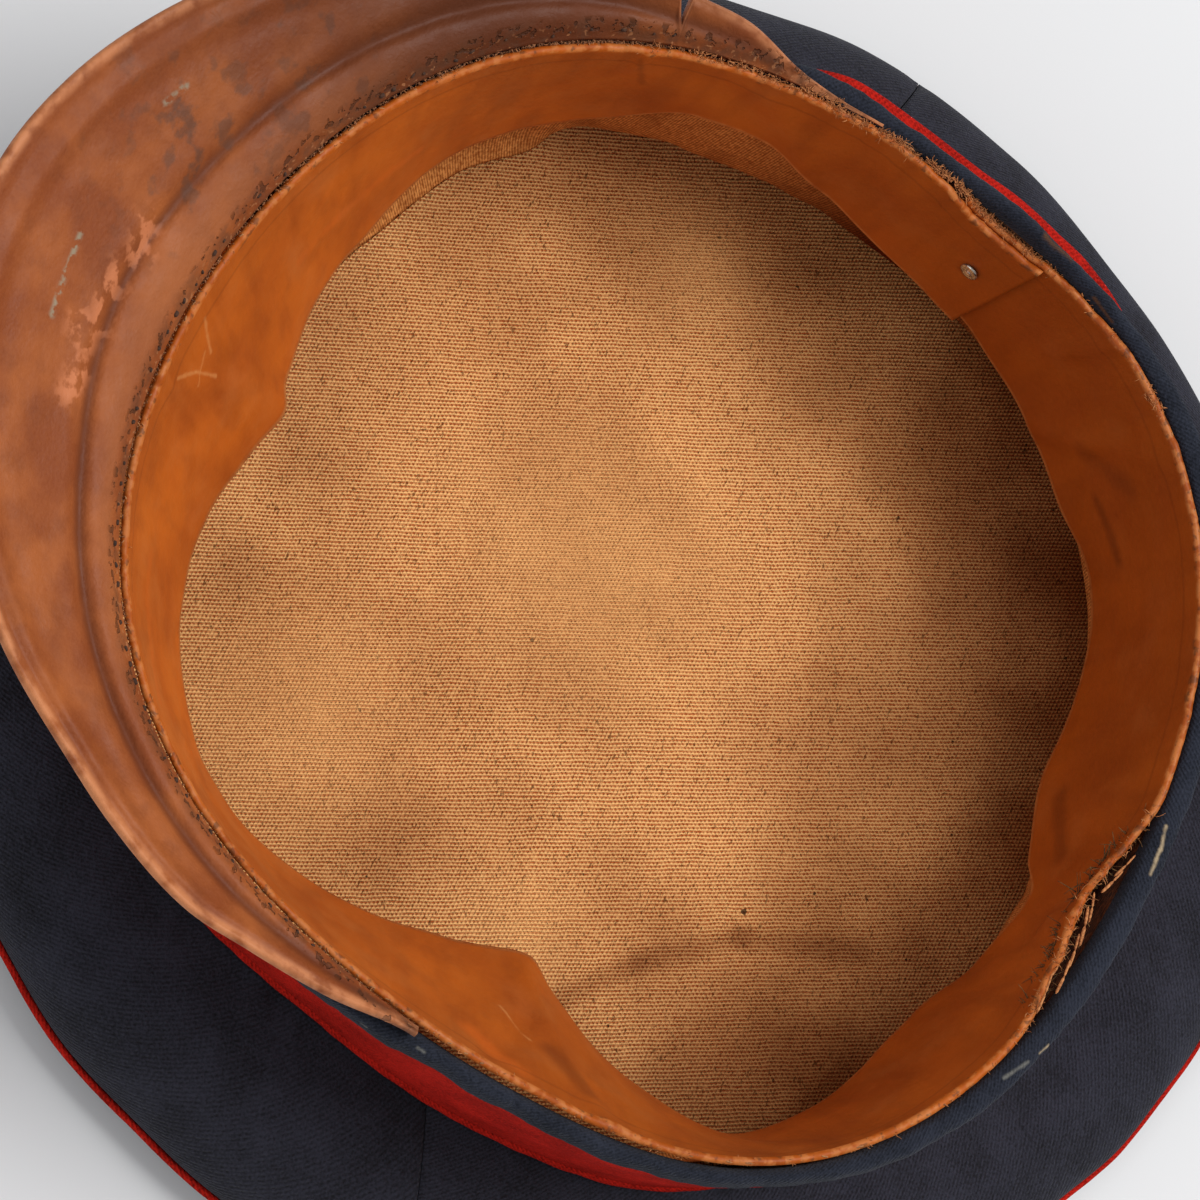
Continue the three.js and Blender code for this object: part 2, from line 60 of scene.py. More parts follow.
# The rim, where the sweatband meets the cloth
RIM_MIDDLE = Vector((3.87, -2.82, 0))
RIM_RADIUS = 89.7
RIM_HEIGHT = 61.4
RIM_RISE = 0.064
RIM_WAVES = table(
    "turns cosine sine",
    (2, 2.8, 0.3),
    (3, 1.5, 0.2),
    (4, -1.8, 1.3),
)
BAND_DEPTH = 39.4
BAND_OUT = 3
BAND_SHIFT = Vector((-1, -1.2, 0))
CLOTH = 1.4
BAND_PIPING_RADIUS = 1.5
BAND_POUCH = table(
    "angle out",
    (-142, 0),
    (-128, 3.0),
    (-120, 4.5),
    (-110, 4.9),
    (-101, 4.4),
    (-93, 5.0),
    (-85, 3.8),
    (-74, 0.8),
    (-64, 0),
    (40, 0),
    (180, 0),
)
RIM_DENT = {"angle": 98, "spread": 13, "depth": 0.8}
WALL_LEAN = table(
    "angle inward",
    (-60, 0),
    (10, 0),
    (35, 1.5),
    (57, 3.0),
    (74, 3.1),
    (83, 2.3),
    (93, 1.3),
    (105, 1.0),
    (120, 0),
    (180, 0),
)

CROWN_HALF_WIDTH = 118.4
CROWN_HALF_LENGTH = 124.7
CROWN_MIDDLE = Vector((-3.7, 7.4, 0))
CROWN_EDGE = table(
    "angle inset",
    (-140, 0.4),
    (-125, 1.1),
    (-116, 1.8),
    (-105, 0.7),
    (-98, 0.1),
    (-88, -0.6),
    (-78, 0.8),
    (-60, -0.1),
    (0, 0),
    (52, 0),
    (60, -0.5),
    (68, 0.1),
    (76, -0.3),
    (110, 0),
    (151, 1.1),
    (158, 0.2),
    (164, 0.4),
    (171, -0.2),
)
CROWN_PIPING_HEIGHT = 6.7
CROWN_PIPING_RADIUS = 0.65
CROWN_SEAMS = {"right": 92, "left": -94.5}
CROWN_CLOTH = 1.5

VISOR_SLOPE = math.tan(math.radians(35))
VISOR_THICKNESS = 2.2
VISOR_ROOT = 0.1
VISOR_BOTTOM = 0.6
VISOR_SLIT = {"angle": -64.7, "half": 0.75, "left": 2.2}
VISOR_ENDS = {"from": -90, "to": 80}
VISOR_WIDTHS = table(
    "angle width groove border",
    (-90, 0.3, 0.1, 0.1),
    (-84, 0.5, 0.2, 0.1),
    (-78, 1.4, 0.6, 0.4),
    (-72, 4.6, 2.0, 1.0),
    (-66, 6.4, 3.0, 1.4),
    (-58, 9.8, 4.6, 1.8),
    (-46, 14.6, 6.4, 2.6),
    (-34, 19.8, 7.6, 3.4),
    (-24, 25.2, 8.6, 4.2),
    (-16, 29.4, 9.4, 4.8),
    (-8, 33.0, 10.2, 5.4),
    (0, 35.0, 10.7, 5.7),
    (8, 33.8, 9.8, 5.4),
    (16, 30.4, 8.0, 4.8),
    (24, 26.0, 7.0, 4.2),
    (32, 21.2, 6.4, 3.6),
    (40, 16.4, 5.6, 3.0),
    (47, 14.2, 5.2, 2.6),
    (56, 11.8, 4.6, 2.2),
    (62, 8.4, 3.6, 1.8),
    (70, 5.0, 2.2, 1.2),
    (80, 1.0, 0.4, 0.3),
)

RIM_STRIP = table(
    "angle width skirt",
    (-140, 5.0, 6.5),
    (-125, 3.7, 5.5),
    (-112, 3.2, 4.8),
    (-100, 3.2, 4.8),
    (-93, 3.7, 5.2),
    (-86, 5.0, 5.8),
    (-70, 3.8, 7.6),
    (0, 3.4, 7.6),
    (64, 4.8, 5.5),
    (76, 4.4, 4.2),
    (86, 3.3, 4.0),
    (104, 3.2, 4.0),
    (116, 3.1, 4.2),
    (128, 3.2, 4.8),
    (145, 4.4, 6.0),
    (180, 4.6, 6.5),
)

# The sweatband's free edge leans into the cap and hangs to a depth
SWEATBAND_GAP = 0.3
SWEATBAND_THICKNESS = 1.3
SWEATBAND_LAP = {"end": -115, "length": 12, "step": 1.7}
SWEATBAND_EDGE = table(
    "angle lean depth",
    (-175, 5.5, 36),
    (-163, 3.5, 36),
    (-150, 2.1, 35),
    (-139, 4.5, 36),
    (-124, 2.8, 36),
    (-115, 2.1, 34),
    (-108, 2.1, 31.5),
    (-92, 2.1, 27),
    (-82, 2.1, 20),
    (-72, 2.1, 19),
    (-63, 2.1, 33),
    (-46, 6.5, 36),
    (-32, 12.8, 36),
    (-20, 16.7, 36),
    (-9, 21.7, 36),
    (-4, 24.4, 36),
    (3, 23.3, 36),
    (14, 19.8, 36),
    (30, 15.3, 36),
    (50, 10.6, 36),
    (67, 12.0, 36),
    (84, 18.4, 36),
    (98, 24.4, 36),
    (105, 19.7, 36),
    (117, 10.8, 36),
    (128, 3.2, 36),
    (153, 4.6, 36),
    (162, 2.1, 35),
    (172, 2.1, 29),
    (177, 2.5, 35),
)
SWEATBAND_SEAM = table(
    "angle inward drop",
    (-130, 0, 0.4),
    (-120, 0, 2.4),
    (-108, 0, 4.6),
    (-97, 0, 0.4),
    (0, 0, 0),
    (150, 0, 0.4),
    (161, 2.6, 1.0),
    (170, 4.6, 1.0),
    (178, 1.8, 0.8),
    (184, 0, 0.4),
)
# Creases across the sweatband: where they start at the rim, how far they slant
SWEATBAND_CREASES = table(
    "angle slant start end depth width",
    (-140, 9, 0.1, 0.95, 0.7, 1.6),
    (-133, -7, 0.25, 0.9, -0.6, 1.8),
    (-126, 4, 0.0, 0.5, 0.5, 1.2),
    (-4, -3, 0.3, 1.0, -0.8, 2.2),
    (8, -14, 0.05, 0.7, 0.5, 1.6),
    (88, 14, 0.1, 1.0, -0.7, 2.0),
    (104, -8, 0.0, 0.9, 0.6, 1.8),
    (166, 3, 0.0, 0.45, 0.7, 1.5),
    (-62, 2, 0.0, 0.22, 0.5, 0.7),
)
RIVET = {"angle": -110.5, "depth": 17, "radius": 1.7, "rise": 0.9}

# The lining's side strip and its ribbed cloth
LINING = 1.1
LINING_EDGE_HEIGHT = 9.4
LINING_MIDDLE_HEIGHT = 5.6
LINING_TOP_DEPTH = 31
LINING_EDGE = table(
    "angle out",
    (-157, 2.6),
    (-140, 4.0),
    (-128, 7.0),
    (-115, 9.0),
    (-100, 11.4),
    (-90, 12.0),
    (-78, 9.2),
    (-70, 6.8),
    (-65, 4.6),
    (-60, -1.2),
    (-55, -3.3),
    (-50, -4.6),
    (-43, -8.4),
    (-36, -12),
    (-10, -15),
    (40, -9),
    (90, -3.4),
    (134, -3.4),
    (153, -2.4),
    (168, 4),
)
LINING_SWELLS = table(
    "x y rise spread",
    (0, -5, 0.9, 26),
    (-38, -30, -0.7, 20),
    (48, -22, -0.6, 18),
    (30, 42, 0.8, 22),
    (-45, 40, 0.7, 20),
)
LINING_PUCKERS = table(
    "angle depth width",
    (-58, 1.3, 1.6),
    (-53, 1.0, 1.2),
    (-47, 0.6, 1.4),
    (-76, 0.7, 1.8),
    (-96, 0.5, 2.4),
    (174, 0.6, 2.0),
    (120, 0.5, 2.2),
)


known_values = {}


def around(rows, angle, column):
    """Smooth value of one column of a table, at any angle round the cap."""
    key = (id(rows), angle, column)
    if key not in known_values:
        known_values[key] = smooth_value(rows, angle, column)
    return known_values[key]


def smooth_value(rows, angle, column):
    count = len(rows)
    rows = sorted(rows, key=lambda row: row["angle"])

    def row(i):
        return rows[i % count]["angle"] + 360 * (i // count), rows[i % count][column]

    first = rows[0]["angle"]
    wrapped = first + (angle - first) % 360
    i = 0
    while row(i + 1)[0] <= wrapped:
        i += 1
    (a, before), (b, start), (c, end), (d, after) = row(i - 1), row(i), row(i + 1), row(i + 2)
    span = c - b
    slope_start = (end - before) / (c - a) * span
    slope_end = (after - start) / (d - b) * span
    steepest = max(abs(slope_start), abs(slope_end))
    easing = min(1, 2.5 * abs(end - start) / steepest) if steepest > 1e-6 else 0
    s = (wrapped - b) / span
    bend = s * (1 - s) * ((1 - s) * slope_start - s * slope_end)
    return start + (end - start) * s * s * (3 - 2 * s) + bend * easing


def bell(distance, width):
    return math.exp(-((distance / width) ** 2))


def smoothstep(value, low, high):
    t = min(1, max(0, (value - low) / (high - low)))
    return t * t * (3 - 2 * t)


def turn_between(angle, centre):
    return (angle - centre + 540) % 360 - 180


def heading(angle):
    a = math.radians(angle)
    return Vector((math.sin(a), -math.cos(a), 0))


def wander(angle, size, seed):
    """Smooth random value, about -1 to 1, that closes round the cap. size is the bumps' length."""
    a = math.radians(angle)
    reach = RIM_RADIUS / size
    return 1.8 * noise.noise(Vector((reach * math.cos(a), reach * math.sin(a), 7.3 * seed)))


def rim_radius(angle):
    a = math.radians(angle)
    waves = (w["cosine"] * math.cos(w["turns"] * a) + w["sine"] * math.sin(w["turns"] * a) for w in RIM_WAVES)
    dent = RIM_DENT["depth"] * bell(turn_between(angle, RIM_DENT["angle"]), RIM_DENT["spread"])
    return RIM_RADIUS + sum(waves) - dent


def rim_point(angle, out, down):
    """A point outside (+) or inside (-) the rim line, and some way down from it."""
    way = heading(angle)
    radius = rim_radius(angle)
    share = max(0, down) / BAND_DEPTH
    lean = share * around(WALL_LEAN, angle, "inward")
    point = RIM_MIDDLE + way * (radius + out - lean) + BAND_SHIFT * share
    point.z = RIM_HEIGHT - RIM_RISE * radius * way.y - down
    return point


def crown_point(angle, inset, height):
    way = heading(angle)
    middle = RIM_MIDDLE + CROWN_MIDDLE
    inward = inset + around(CROWN_EDGE, angle, "inset")
    x = middle.x + (CROWN_HALF_WIDTH - inward) * way.x
    y = middle.y + (CROWN_HALF_LENGTH - inward) * way.y
    return Vector((x, y, height))


def spread(first, last, count):
    return [first + (last - first) * i / (count - 1) for i in range(count)]


def full_turn(count):
    return [360 * i / count for i in range(count)]


def refine(points, count, closed=True):
    """Points spaced along a smooth curve through the given ones."""
    size = len(points)
    spans = size if closed else size - 1
    path = []
    for k in range(count):
        place = k * spans / (count if closed else count - 1)
        i = min(int(place), spans - 1)
        t = place - i
        if closed:
            a, b, c, d = (points[(i + n) % size] for n in (-1, 0, 1, 2))
        else:
            a, b, c, d = (points[min(size - 1, max(0, i + n))] for n in (-1, 0, 1, 2))
        path.append(
            tuple(
                0.5
                * (
                    2 * q
                    + (r - p) * t
                    + (2 * p - 5 * q + 4 * r - s) * t * t
                    + (3 * q - p - 3 * r + s) * t ** 3
                )
                for p, q, r, s in zip(a, b, c, d)
            )
        )
    return path


# Meshes
def make_piece(name, points, faces, looks, slot, replaces=(), maps=None, face_looks=None, measures=None):
    """An object of the cap from points in millimetres. maps holds each face's UV corners, in millimetres."""
    mesh = bpy.data.meshes.new(name)
    mesh.from_pydata([p * MM for p in points], [], faces)
    mesh.update()
    if maps:
        layer = mesh.uv_layers.new(name="cloth")
        layer.data.foreach_set("uv", [value for corners in maps for uv in corners for value in uv])
    for key, values in (measures or {}).items():
        mesh.attributes.new(key, "FLOAT", "POINT").data.foreach_set("value", values)
    for look in looks:
        mesh.materials.append(look)
    if face_looks:
        mesh.polygons.foreach_set("material_index", face_looks)
    mesh.polygons.foreach_set("use_smooth", [True] * len(mesh.polygons))
    piece = bpy.data.objects.new(name, mesh)
    bpy.context.scene.collection.objects.link(piece)
    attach(piece, "root")
    if replaces:
        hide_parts(*replaces)
    return piece


def loft(sections, angles, closed=True):
    """Faces and UV corners of the skin round closed sections that follow each other."""
    size = len(sections[0])
    count = len(sections)
    along = [math.radians(angle) * RIM_RADIUS for angle in angles]
    if closed:
        along.append(along[0] + 2 * math.pi * RIM_RADIUS)
    across = [0]
    middle = sections[count // 2]
    for j in range(size):
        across.append(across[-1] + (middle[(j + 1) % size] - middle[j]).length)
    faces = []
    maps = []
    for i in range(count if closed else count - 1):
        a = i * size
        b = ((i + 1) % count) * size
        for j in range(size):
            k = (j + 1) % size
            faces.append((a + j, a + k, b + k, b + j))
            maps.append(
                (
                    (along[i], across[j]),
                    (along[i], across[j + 1]),
                    (along[i + 1], across[j + 1]),
                    (along[i + 1], across[j]),
                )
            )
    if not closed:
        for first, order in ((0, -1), ((count - 1) * size, 1)):
            ring = list(range(first, first + size))[::order]
            faces.append(tuple(ring))
            maps.append(tuple((0, 0) for _ in ring))
    points = [point for section in sections for point in section]
    return points, faces_outward(points, faces, maps), maps


def faces_outward(points, faces, maps):
    """Turns all faces round together if their solid is inside out."""
    volume = sum(points[f[0]].dot(points[f[1]].cross(points[f[2]])) for f in faces)
    volume += sum(points[f[0]].dot(points[f[2]].cross(points[f[3]])) for f in faces if len(f) == 4)
    if volume >= 0:
        return faces
    maps[:] = [tuple(reversed(corners)) for corners in maps]
    return [tuple(reversed(face)) for face in faces]


def lofted(name, section, angles, looks, slot, replaces, closed=True, **more):
    points, faces, maps = loft([section(angle) for angle in angles], angles, closed)
    return make_piece(name, points, faces, looks, slot, replaces, maps, **more)


# Materials. Ragged outlines take noise of three sizes, and lines thinner than THIN_LINE the finest.
# A line is solid over LINE_CORE of its reach.
COARSE_ROUGHNESS = 10
MIDDLE_ROUGHNESS = 6
FINE_ROUGHNESS = 1.5
THIN_LINE = 2
LINE_CORE = 0.3


class Finish:
    """A material under construction. Its texture places are in millimetres."""

    def __init__(self, name):
        self.material = bpy.data.materials.new(name)
        self.material.use_nodes = True
        self.nodes = self.material.node_tree.nodes
        self.links = self.material.node_tree.links
        self.shader = self.nodes["Principled BSDF"]
        coordinates = self.nodes.new("ShaderNodeTexCoord")
        self.place = self.vector("SCALE", coordinates.outputs["Object"], scale=1 / MM)
        self.cloth = coordinates.outputs["UV"]
        self.rough_noises = {}

    def put(self, socket, value):
        if isinstance(value, bpy.types.NodeSocket):
            self.links.new(value, socket)
        elif value is not None:
            socket.default_value = value

    def vector(self, operation, a, b=None, c=None, scale=None):
        node = self.nodes.new("ShaderNodeVectorMath")
        node.operation = operation
        for socket, value in zip(node.inputs, (a, b, c)):
            self.put(socket, value)
        if scale is not None:
            self.put(node.inputs["Scale"], scale)
        return node.outputs["Value" if operation in ("DISTANCE", "DOT_PRODUCT") else "Vector"]

    def math(self, operation, a, b=None, clamp=False):
        node = self.nodes.new("ShaderNodeMath")
        node.operation = operation
        node.use_clamp = clamp
        self.put(node.inputs[0], a)
        self.put(node.inputs[1], b)
        return node.outputs[0]

    def times(self, a, b):
        return self.math("MULTIPLY", a, b)

    def plus(self, a, b):
        return self.math("ADD", a, b)

    def band(self, value, low, high, start=0.0, end=1.0):
        """A value eased from start at low to end at high."""
        node = self.nodes.new("ShaderNodeMapRange")
        node.interpolation_type = "SMOOTHSTEP"
        sockets = ("Value", "From Min", "From Max", "To Min", "To Max")
        for socket, number in zip(sockets, (value, low, high, start, end)):
            self.put(node.inputs[socket], number)
        return node.outputs["Result"]

    def noise(self, size, detail=3.0, stretch=(1, 1, 1), turn=0.0, seed=0.0):
        """Smooth noise from 0 to 1 whose bumps are about size millimetres."""
        mapping = self.nodes.new("ShaderNodeMapping")
        self.put(mapping.inputs["Vector"], self.place)
        mapping.inputs["Location"].default_value = (seed * 37.1, seed * 11.7, seed * 5.3)
        mapping.inputs["Rotation"].default_value = (0, 0, math.radians(turn))
        mapping.inputs["Scale"].default_value = [part / size for part in stretch]
        node = self.nodes.new("ShaderNodeTexNoise")
        node.inputs["Scale"].default_value = 1
        node.inputs["Detail"].default_value = detail
        self.put(node.inputs["Vector"], mapping.outputs[0])
        return node.outputs["Fac"]

    def lines(self, direction, pitch, sway=None, where=None):
        """A sine from 0 to 1 that repeats every pitch millimetres along a direction."""
        phase = self.times(self.vector("DOT_PRODUCT", where or self.place, direction), 2 * math.pi / pitch)
        if sway is not None:
            phase = self.plus(phase, sway)
        return self.band(self.math("SINE", phase), -1, 1)

    def mix(self, factor, a, b, blend="MIX"):
        node = self.nodes.new("ShaderNodeMix")
        node.data_type = "RGBA"
        node.blend_type = blend
        self.put(node.inputs["Factor"], factor)
        self.put(node.inputs["A"], a)
        self.put(node.inputs["B"], b)
        return node.outputs["Result"]

    def over(self, colour, tint, mask, strength, blend="MIX"):
        """A colour with a tint laid over it where the mask is 1, at a strength."""
        return self.mix(self.times(mask, strength), colour, tint, blend)

    def measure(self, name):
        node = self.nodes.new("ShaderNodeAttribute")
        node.attribute_name = name
        return node.outputs["Fac"]

    def rough(self, size):
        """Noise for ragged outlines, shared by all the marks of about one size."""
        if size not in self.rough_noises:
            self.rough_noises[size] = self.noise(size, detail=2)
        return self.rough_noises[size]

    def near(self, point, reach, ragged):
        """1 at a point of the cap, in millimetres, falling to 0 at reach."""
        distance = self.vector("DISTANCE", self.place, point)
        distance = self.plus(distance, self.times(self.rough(COARSE_ROUGHNESS), ragged * reach))
        return self.band(distance, reach, 0)

    def near_line(self, start, end, reach, ragged=0.6):
        """1 along a line between two points of the cap, falling to 0 at reach."""
        start = Vector(start)
        along = Vector(end) - start
        step = along / along.length_squared
        reached = self.vector("DOT_PRODUCT", self.place, step)
        share = self.math("SUBTRACT", reached, start.dot(step), clamp=True)
        foot = self.vector("MULTIPLY_ADD", share, along, start)
        distance = self.vector("DISTANCE", self.place, foot)
        rough = self.rough(FINE_ROUGHNESS if reach < THIN_LINE else MIDDLE_ROUGHNESS)
        return self.band(self.plus(distance, self.times(rough, ragged * reach)), reach, reach * LINE_CORE)

    def most(self, values):
        total = values[0]
        for value in values[1:]:
            total = self.math("MAXIMUM", total, value)
        return total

    def finish(self, colour, roughness, heights, **settings):
        """heights is a list of (height from 0 to 1, depth in millimetres)."""
        self.put(self.shader.inputs["Base Color"], colour)
        self.put(self.shader.inputs["Roughness"], roughness)
        normal = None
        for height, depth in heights:
            bump = self.nodes.new("ShaderNodeBump")
            bump.inputs["Strength"].default_value = 1
            bump.inputs["Distance"].default_value = depth * MM
            self.put(bump.inputs["Height"], height)
            self.put(bump.inputs["Normal"], normal)
            normal = bump.outputs[0]
        self.put(self.shader.inputs["Normal"], normal)
        for name, value in settings.items():
            self.shader.inputs[name.replace("_", " ")].default_value = value
        return self.material


def rgb(red, green, blue):
    """A colour as seen on screen, 0 to 255, in the linear values that shaders take."""
    channels = (c / 255 for c in (red, green, blue))
    return tuple(c / 12.92 if c < 0.04045 else ((c + 0.055) / 1.055) ** 2.4 for c in channels) + (1,)


def pixel_ray(x, y):
    scale = SENSOR / LENS / PICTURE
    middle = PICTURE / 2
    right = CAMERA_RIGHT * (x - middle) * scale
    down = CAMERA_UP * (y - middle) * scale
    return (CAMERA_AHEAD + right - down).normalized()


known_trees = {}


def point_under(piece, x, y):
    """The point of a piece that shows at a pixel of the picture, in millimetres."""
    if piece.name not in known_trees:
        points = [v.co / MM for v in piece.data.vertices]
        polygons = [p.vertices for p in piece.data.polygons]
        known_trees[piece.name] = BVHTree.FromPolygons(points, polygons)
    hit = known_trees[piece.name].ray_cast(CAMERA_PLACE, pixel_ray(x, y))[0]
    if hit is None:
        raise ValueError(f"{piece.name} doesn't show at {x}, {y}")
    return hit


def cloth_finish(name, dark, light, sheen, marks=()):
    """Felted wool: a fine twill, mottled a little, with fuzz. marks are rows of rubbed lines on it."""
    f = Finish(name)
    mottle = f.noise(9, seed=1)
    grain = f.noise(0.45, detail=4, seed=2)
    twill = f.lines((0.7, 0.7, 0.2), 0.62, f.times(f.noise(1.4), 3.0), where=f.cloth)
    shade = f.plus(f.times(mottle, 0.45), f.times(grain, 0.8))
    shade = f.plus(shade, f.times(twill, 0.1))
    colour = f.mix(f.band(shade, 0.35, 0.95), dark, light)
    lint = f.band(f.noise(0.7, detail=1, seed=4), 0.84, 0.9)
    colour = f.over(colour, rgb(150, 150, 155), lint, 0.25)
    for mark in marks:
        rubbed = f.near_line(mark["start"], mark["end"], mark["reach"], 0.8)
        colour = f.over(colour, mark["tint"], rubbed, 0.85)
    heights = [(f.noise(2.5, detail=3, seed=5), 0.35), (grain, 0.3), (twill, 0.06)]
    return f.finish(colour, 0.95, heights, Sheen_Weight=sheen, Sheen_Roughness=0.5, Specular_IOR_Level=0.05)


def visor_finish(moulds, scuffs, scratches):
    f = Finish("visor_leather")
    edge = f.measure("edge")
    root = f.measure("root")
    groove = f.measure("groove")
    blotch = f.noise(14, detail=4, seed=1)
    streak = f.noise(5, detail=4, seed=2)
    grain = f.noise(0.55, detail=4, seed=3)
    colour = f.mix(f.band(blotch, 0.35, 0.68), rgb(128, 59, 22), rgb(164, 88, 40))
    colour = f.mix(f.band(streak, 0.42, 0.8, 0, 0.55), colour, rgb(112, 52, 22))
    colour = f.over(colour, rgb(196, 118, 68), grain, 0.22)
    roll = f.times(f.band(root, 1.0, 3.0), f.band(groove, -5.5, -1.2, 1, 0))
    colour = f.over(colour, rgb(172, 104, 64), roll, 0.4)
    in_groove = f.band(f.math("ABSOLUTE", groove), 1.5, 0.0)
    colour = f.over(colour, rgb(88, 38, 14), in_groove, 0.7)
    mould_zone = f.most([f.near(point, 38, 0.3) for point in moulds])
    mould = f.times(f.band(f.noise(4.2, detail=5, seed=7), 0.53, 0.66), mould_zone)
    colour = f.over(colour, rgb(84, 60, 48), mould, 0.75)
    scuff_zone = f.most([f.near_line(row["start"], row["end"], 7.0) for row in scuffs])
    scuff = f.times(f.band(f.noise(2.6, detail=4, seed=9), 0.46, 0.58), scuff_zone)
    colour = f.over(colour, rgb(210, 128, 84), scuff, 0.8)
    scratch = f.most([f.near_line(row["start"], row["end"], 1.4) for row in scratches])
    scratch = f.times(scratch, f.band(f.noise(1.3, detail=3, seed=18), 0.4, 0.56))
    colour = f.over(colour, rgb(152, 140, 116), scratch, 0.85)
    worn_edge = f.times(f.band(edge, 1.6, 0.3), f.band(f.noise(4, seed=8), 0.3, 0.62))
    colour = f.over(colour, rgb(208, 134, 88), worn_edge, 0.85)
    # Painted shade: the visor's upper part, round angle -45, is darkened where less light reaches it
    colour = f.over(colour, rgb(88, 44, 22), f.measure("painted_shade"), 0.95)
    grime = f.times(f.band(root, 3.6, 0.6), f.band(f.noise(3.5, seed=6), 0.42, 0.64))
    colour = f.over(colour, rgb(84, 58, 42), grime, 0.5)
    seam = f.times(f.band(root, 2.7, 1.7), f.band(root, 0.5, 1.1))
    holes = f.times(seam, f.band(f.noise(1.3, detail=2, seed=16), 0.56, 0.63))
    colour = f.over(colour, rgb(58, 34, 20), holes, 0.6)
    crumbs = f.times(f.band(root, 2.0, 0.4), f.band(f.noise(1.0, detail=3, seed=17), 0.6, 0.66))
    colour = f.over(colour, rgb(180, 122, 80), crumbs, 0.6)
    roughness = f.band(f.noise(6, seed=11), 0.3, 0.7, 0.5, 0.68)
    pits = f.math("SUBTRACT", 1.0, holes)
    heights = [(f.noise(3.0, detail=4, seed=12), 0.35), (grain, 0.08), (pits, 0.35)]
    return f.finish(colour, roughness, heights, Specular_IOR_Level=0.22)


def lacquer_finish():
    """Black lacquered leather with fine crazing."""
    f = Finish("visor_lacquer")
    crack = f.nodes.new("ShaderNodeTexVoronoi")
    crack.feature = "DISTANCE_TO_EDGE"
    crack.inputs["Scale"].default_value = 0.22
    f.put(crack.inputs["Vector"], f.place)
    line = f.band(crack.outputs["Distance"], 0.0, 0.035)
    colour = f.mix(line, rgb(70, 52, 44), rgb(20, 19, 21))
    scuffs = f.band(f.noise(7, detail=5, seed=3), 0.6, 0.72)
    roughness = f.plus(f.times(scuffs, 0.25), 0.16)
    heights = [(f.noise(8, detail=2, seed=1), 0.5), (line, 0.04), (f.noise(0.5, seed=2), 0.02)]
    return f.finish(colour, roughness, heights, Coat_Weight=0.6, Coat_Roughness=0.12)


def sweatband_finish(marks):
    f = Finish("sweatband_leather")
    top = f.measure("top")
    free = f.measure("free")
    shade = f.measure("shade")
    blotch = f.noise(22, detail=3, seed=1)
    streak = f.noise(6, detail=3, stretch=(1, 1, 0.25), seed=2)
    colour = f.mix(f.band(blotch, 0.3, 0.7), rgb(162, 74, 14), rgb(190, 93, 20))
    colour = f.mix(f.band(streak, 0.4, 0.75, 0, 0.6), colour, rgb(140, 60, 12))
    worn = f.band(f.noise(11, detail=5, seed=12), 0.5, 0.72)
    colour = f.over(colour, rgb(186, 104, 46), worn, 0.4)
    # Painted shade: the sweatband's inner face is darkened where it turns from the light, round angles -136
    # and 104
    colour = f.mix(shade, colour, rgb(126, 52, 10))
    colour = f.over(colour, rgb(206, 106, 32), f.noise(0.8, detail=4, seed=3), 0.22)
    for mark in marks:
        line = f.near_line(mark["start"], mark["end"], mark["reach"])
        colour = f.over(colour, mark["tint"], line, mark["strength"])
    lip = f.times(f.band(top, 0.8, 0.0), f.band(f.noise(1.8, detail=4, seed=5), 0.42, 0.6))
    colour = f.over(colour, rgb(204, 126, 66), lip, 0.55)
    grime = f.times(f.band(top, 1.4, 0.2), f.band(f.noise(1.6, detail=3, seed=6), 0.56, 0.66))
    colour = f.over(colour, rgb(84, 50, 28), grime, 0.6)
    pressed = f.band(f.math("ABSOLUTE", f.math("SUBTRACT", top, 4.4)), 0.5, 0.1, 0, 0.3)
    colour = f.mix(pressed, colour, rgb(112, 46, 10))
    hem = f.times(f.band(free, 0.9, 0.1), f.band(f.noise(2.2, detail=3, seed=13), 0.3, 0.6, 0.3, 0.8))
    colour = f.mix(hem, colour, rgb(210, 138, 76))
    roughness = f.band(f.noise(9, seed=7), 0.3, 0.7, 0.42, 0.6)
    heights = [(f.noise(4, detail=3, seed=8), 0.25), (f.noise(0.7, detail=4, seed=9), 0.06)]
    return f.finish(colour, roughness, heights, Specular_IOR_Level=0.2)


# Ribs run along the picture's rows, a little down to the right
RIB_ALONG = Vector((-0.42, 0.907, 0)).normalized()
RIB_ACROSS = Vector((0.907, 0.42, 0)).normalized()
RIB_PITCH = 0.66


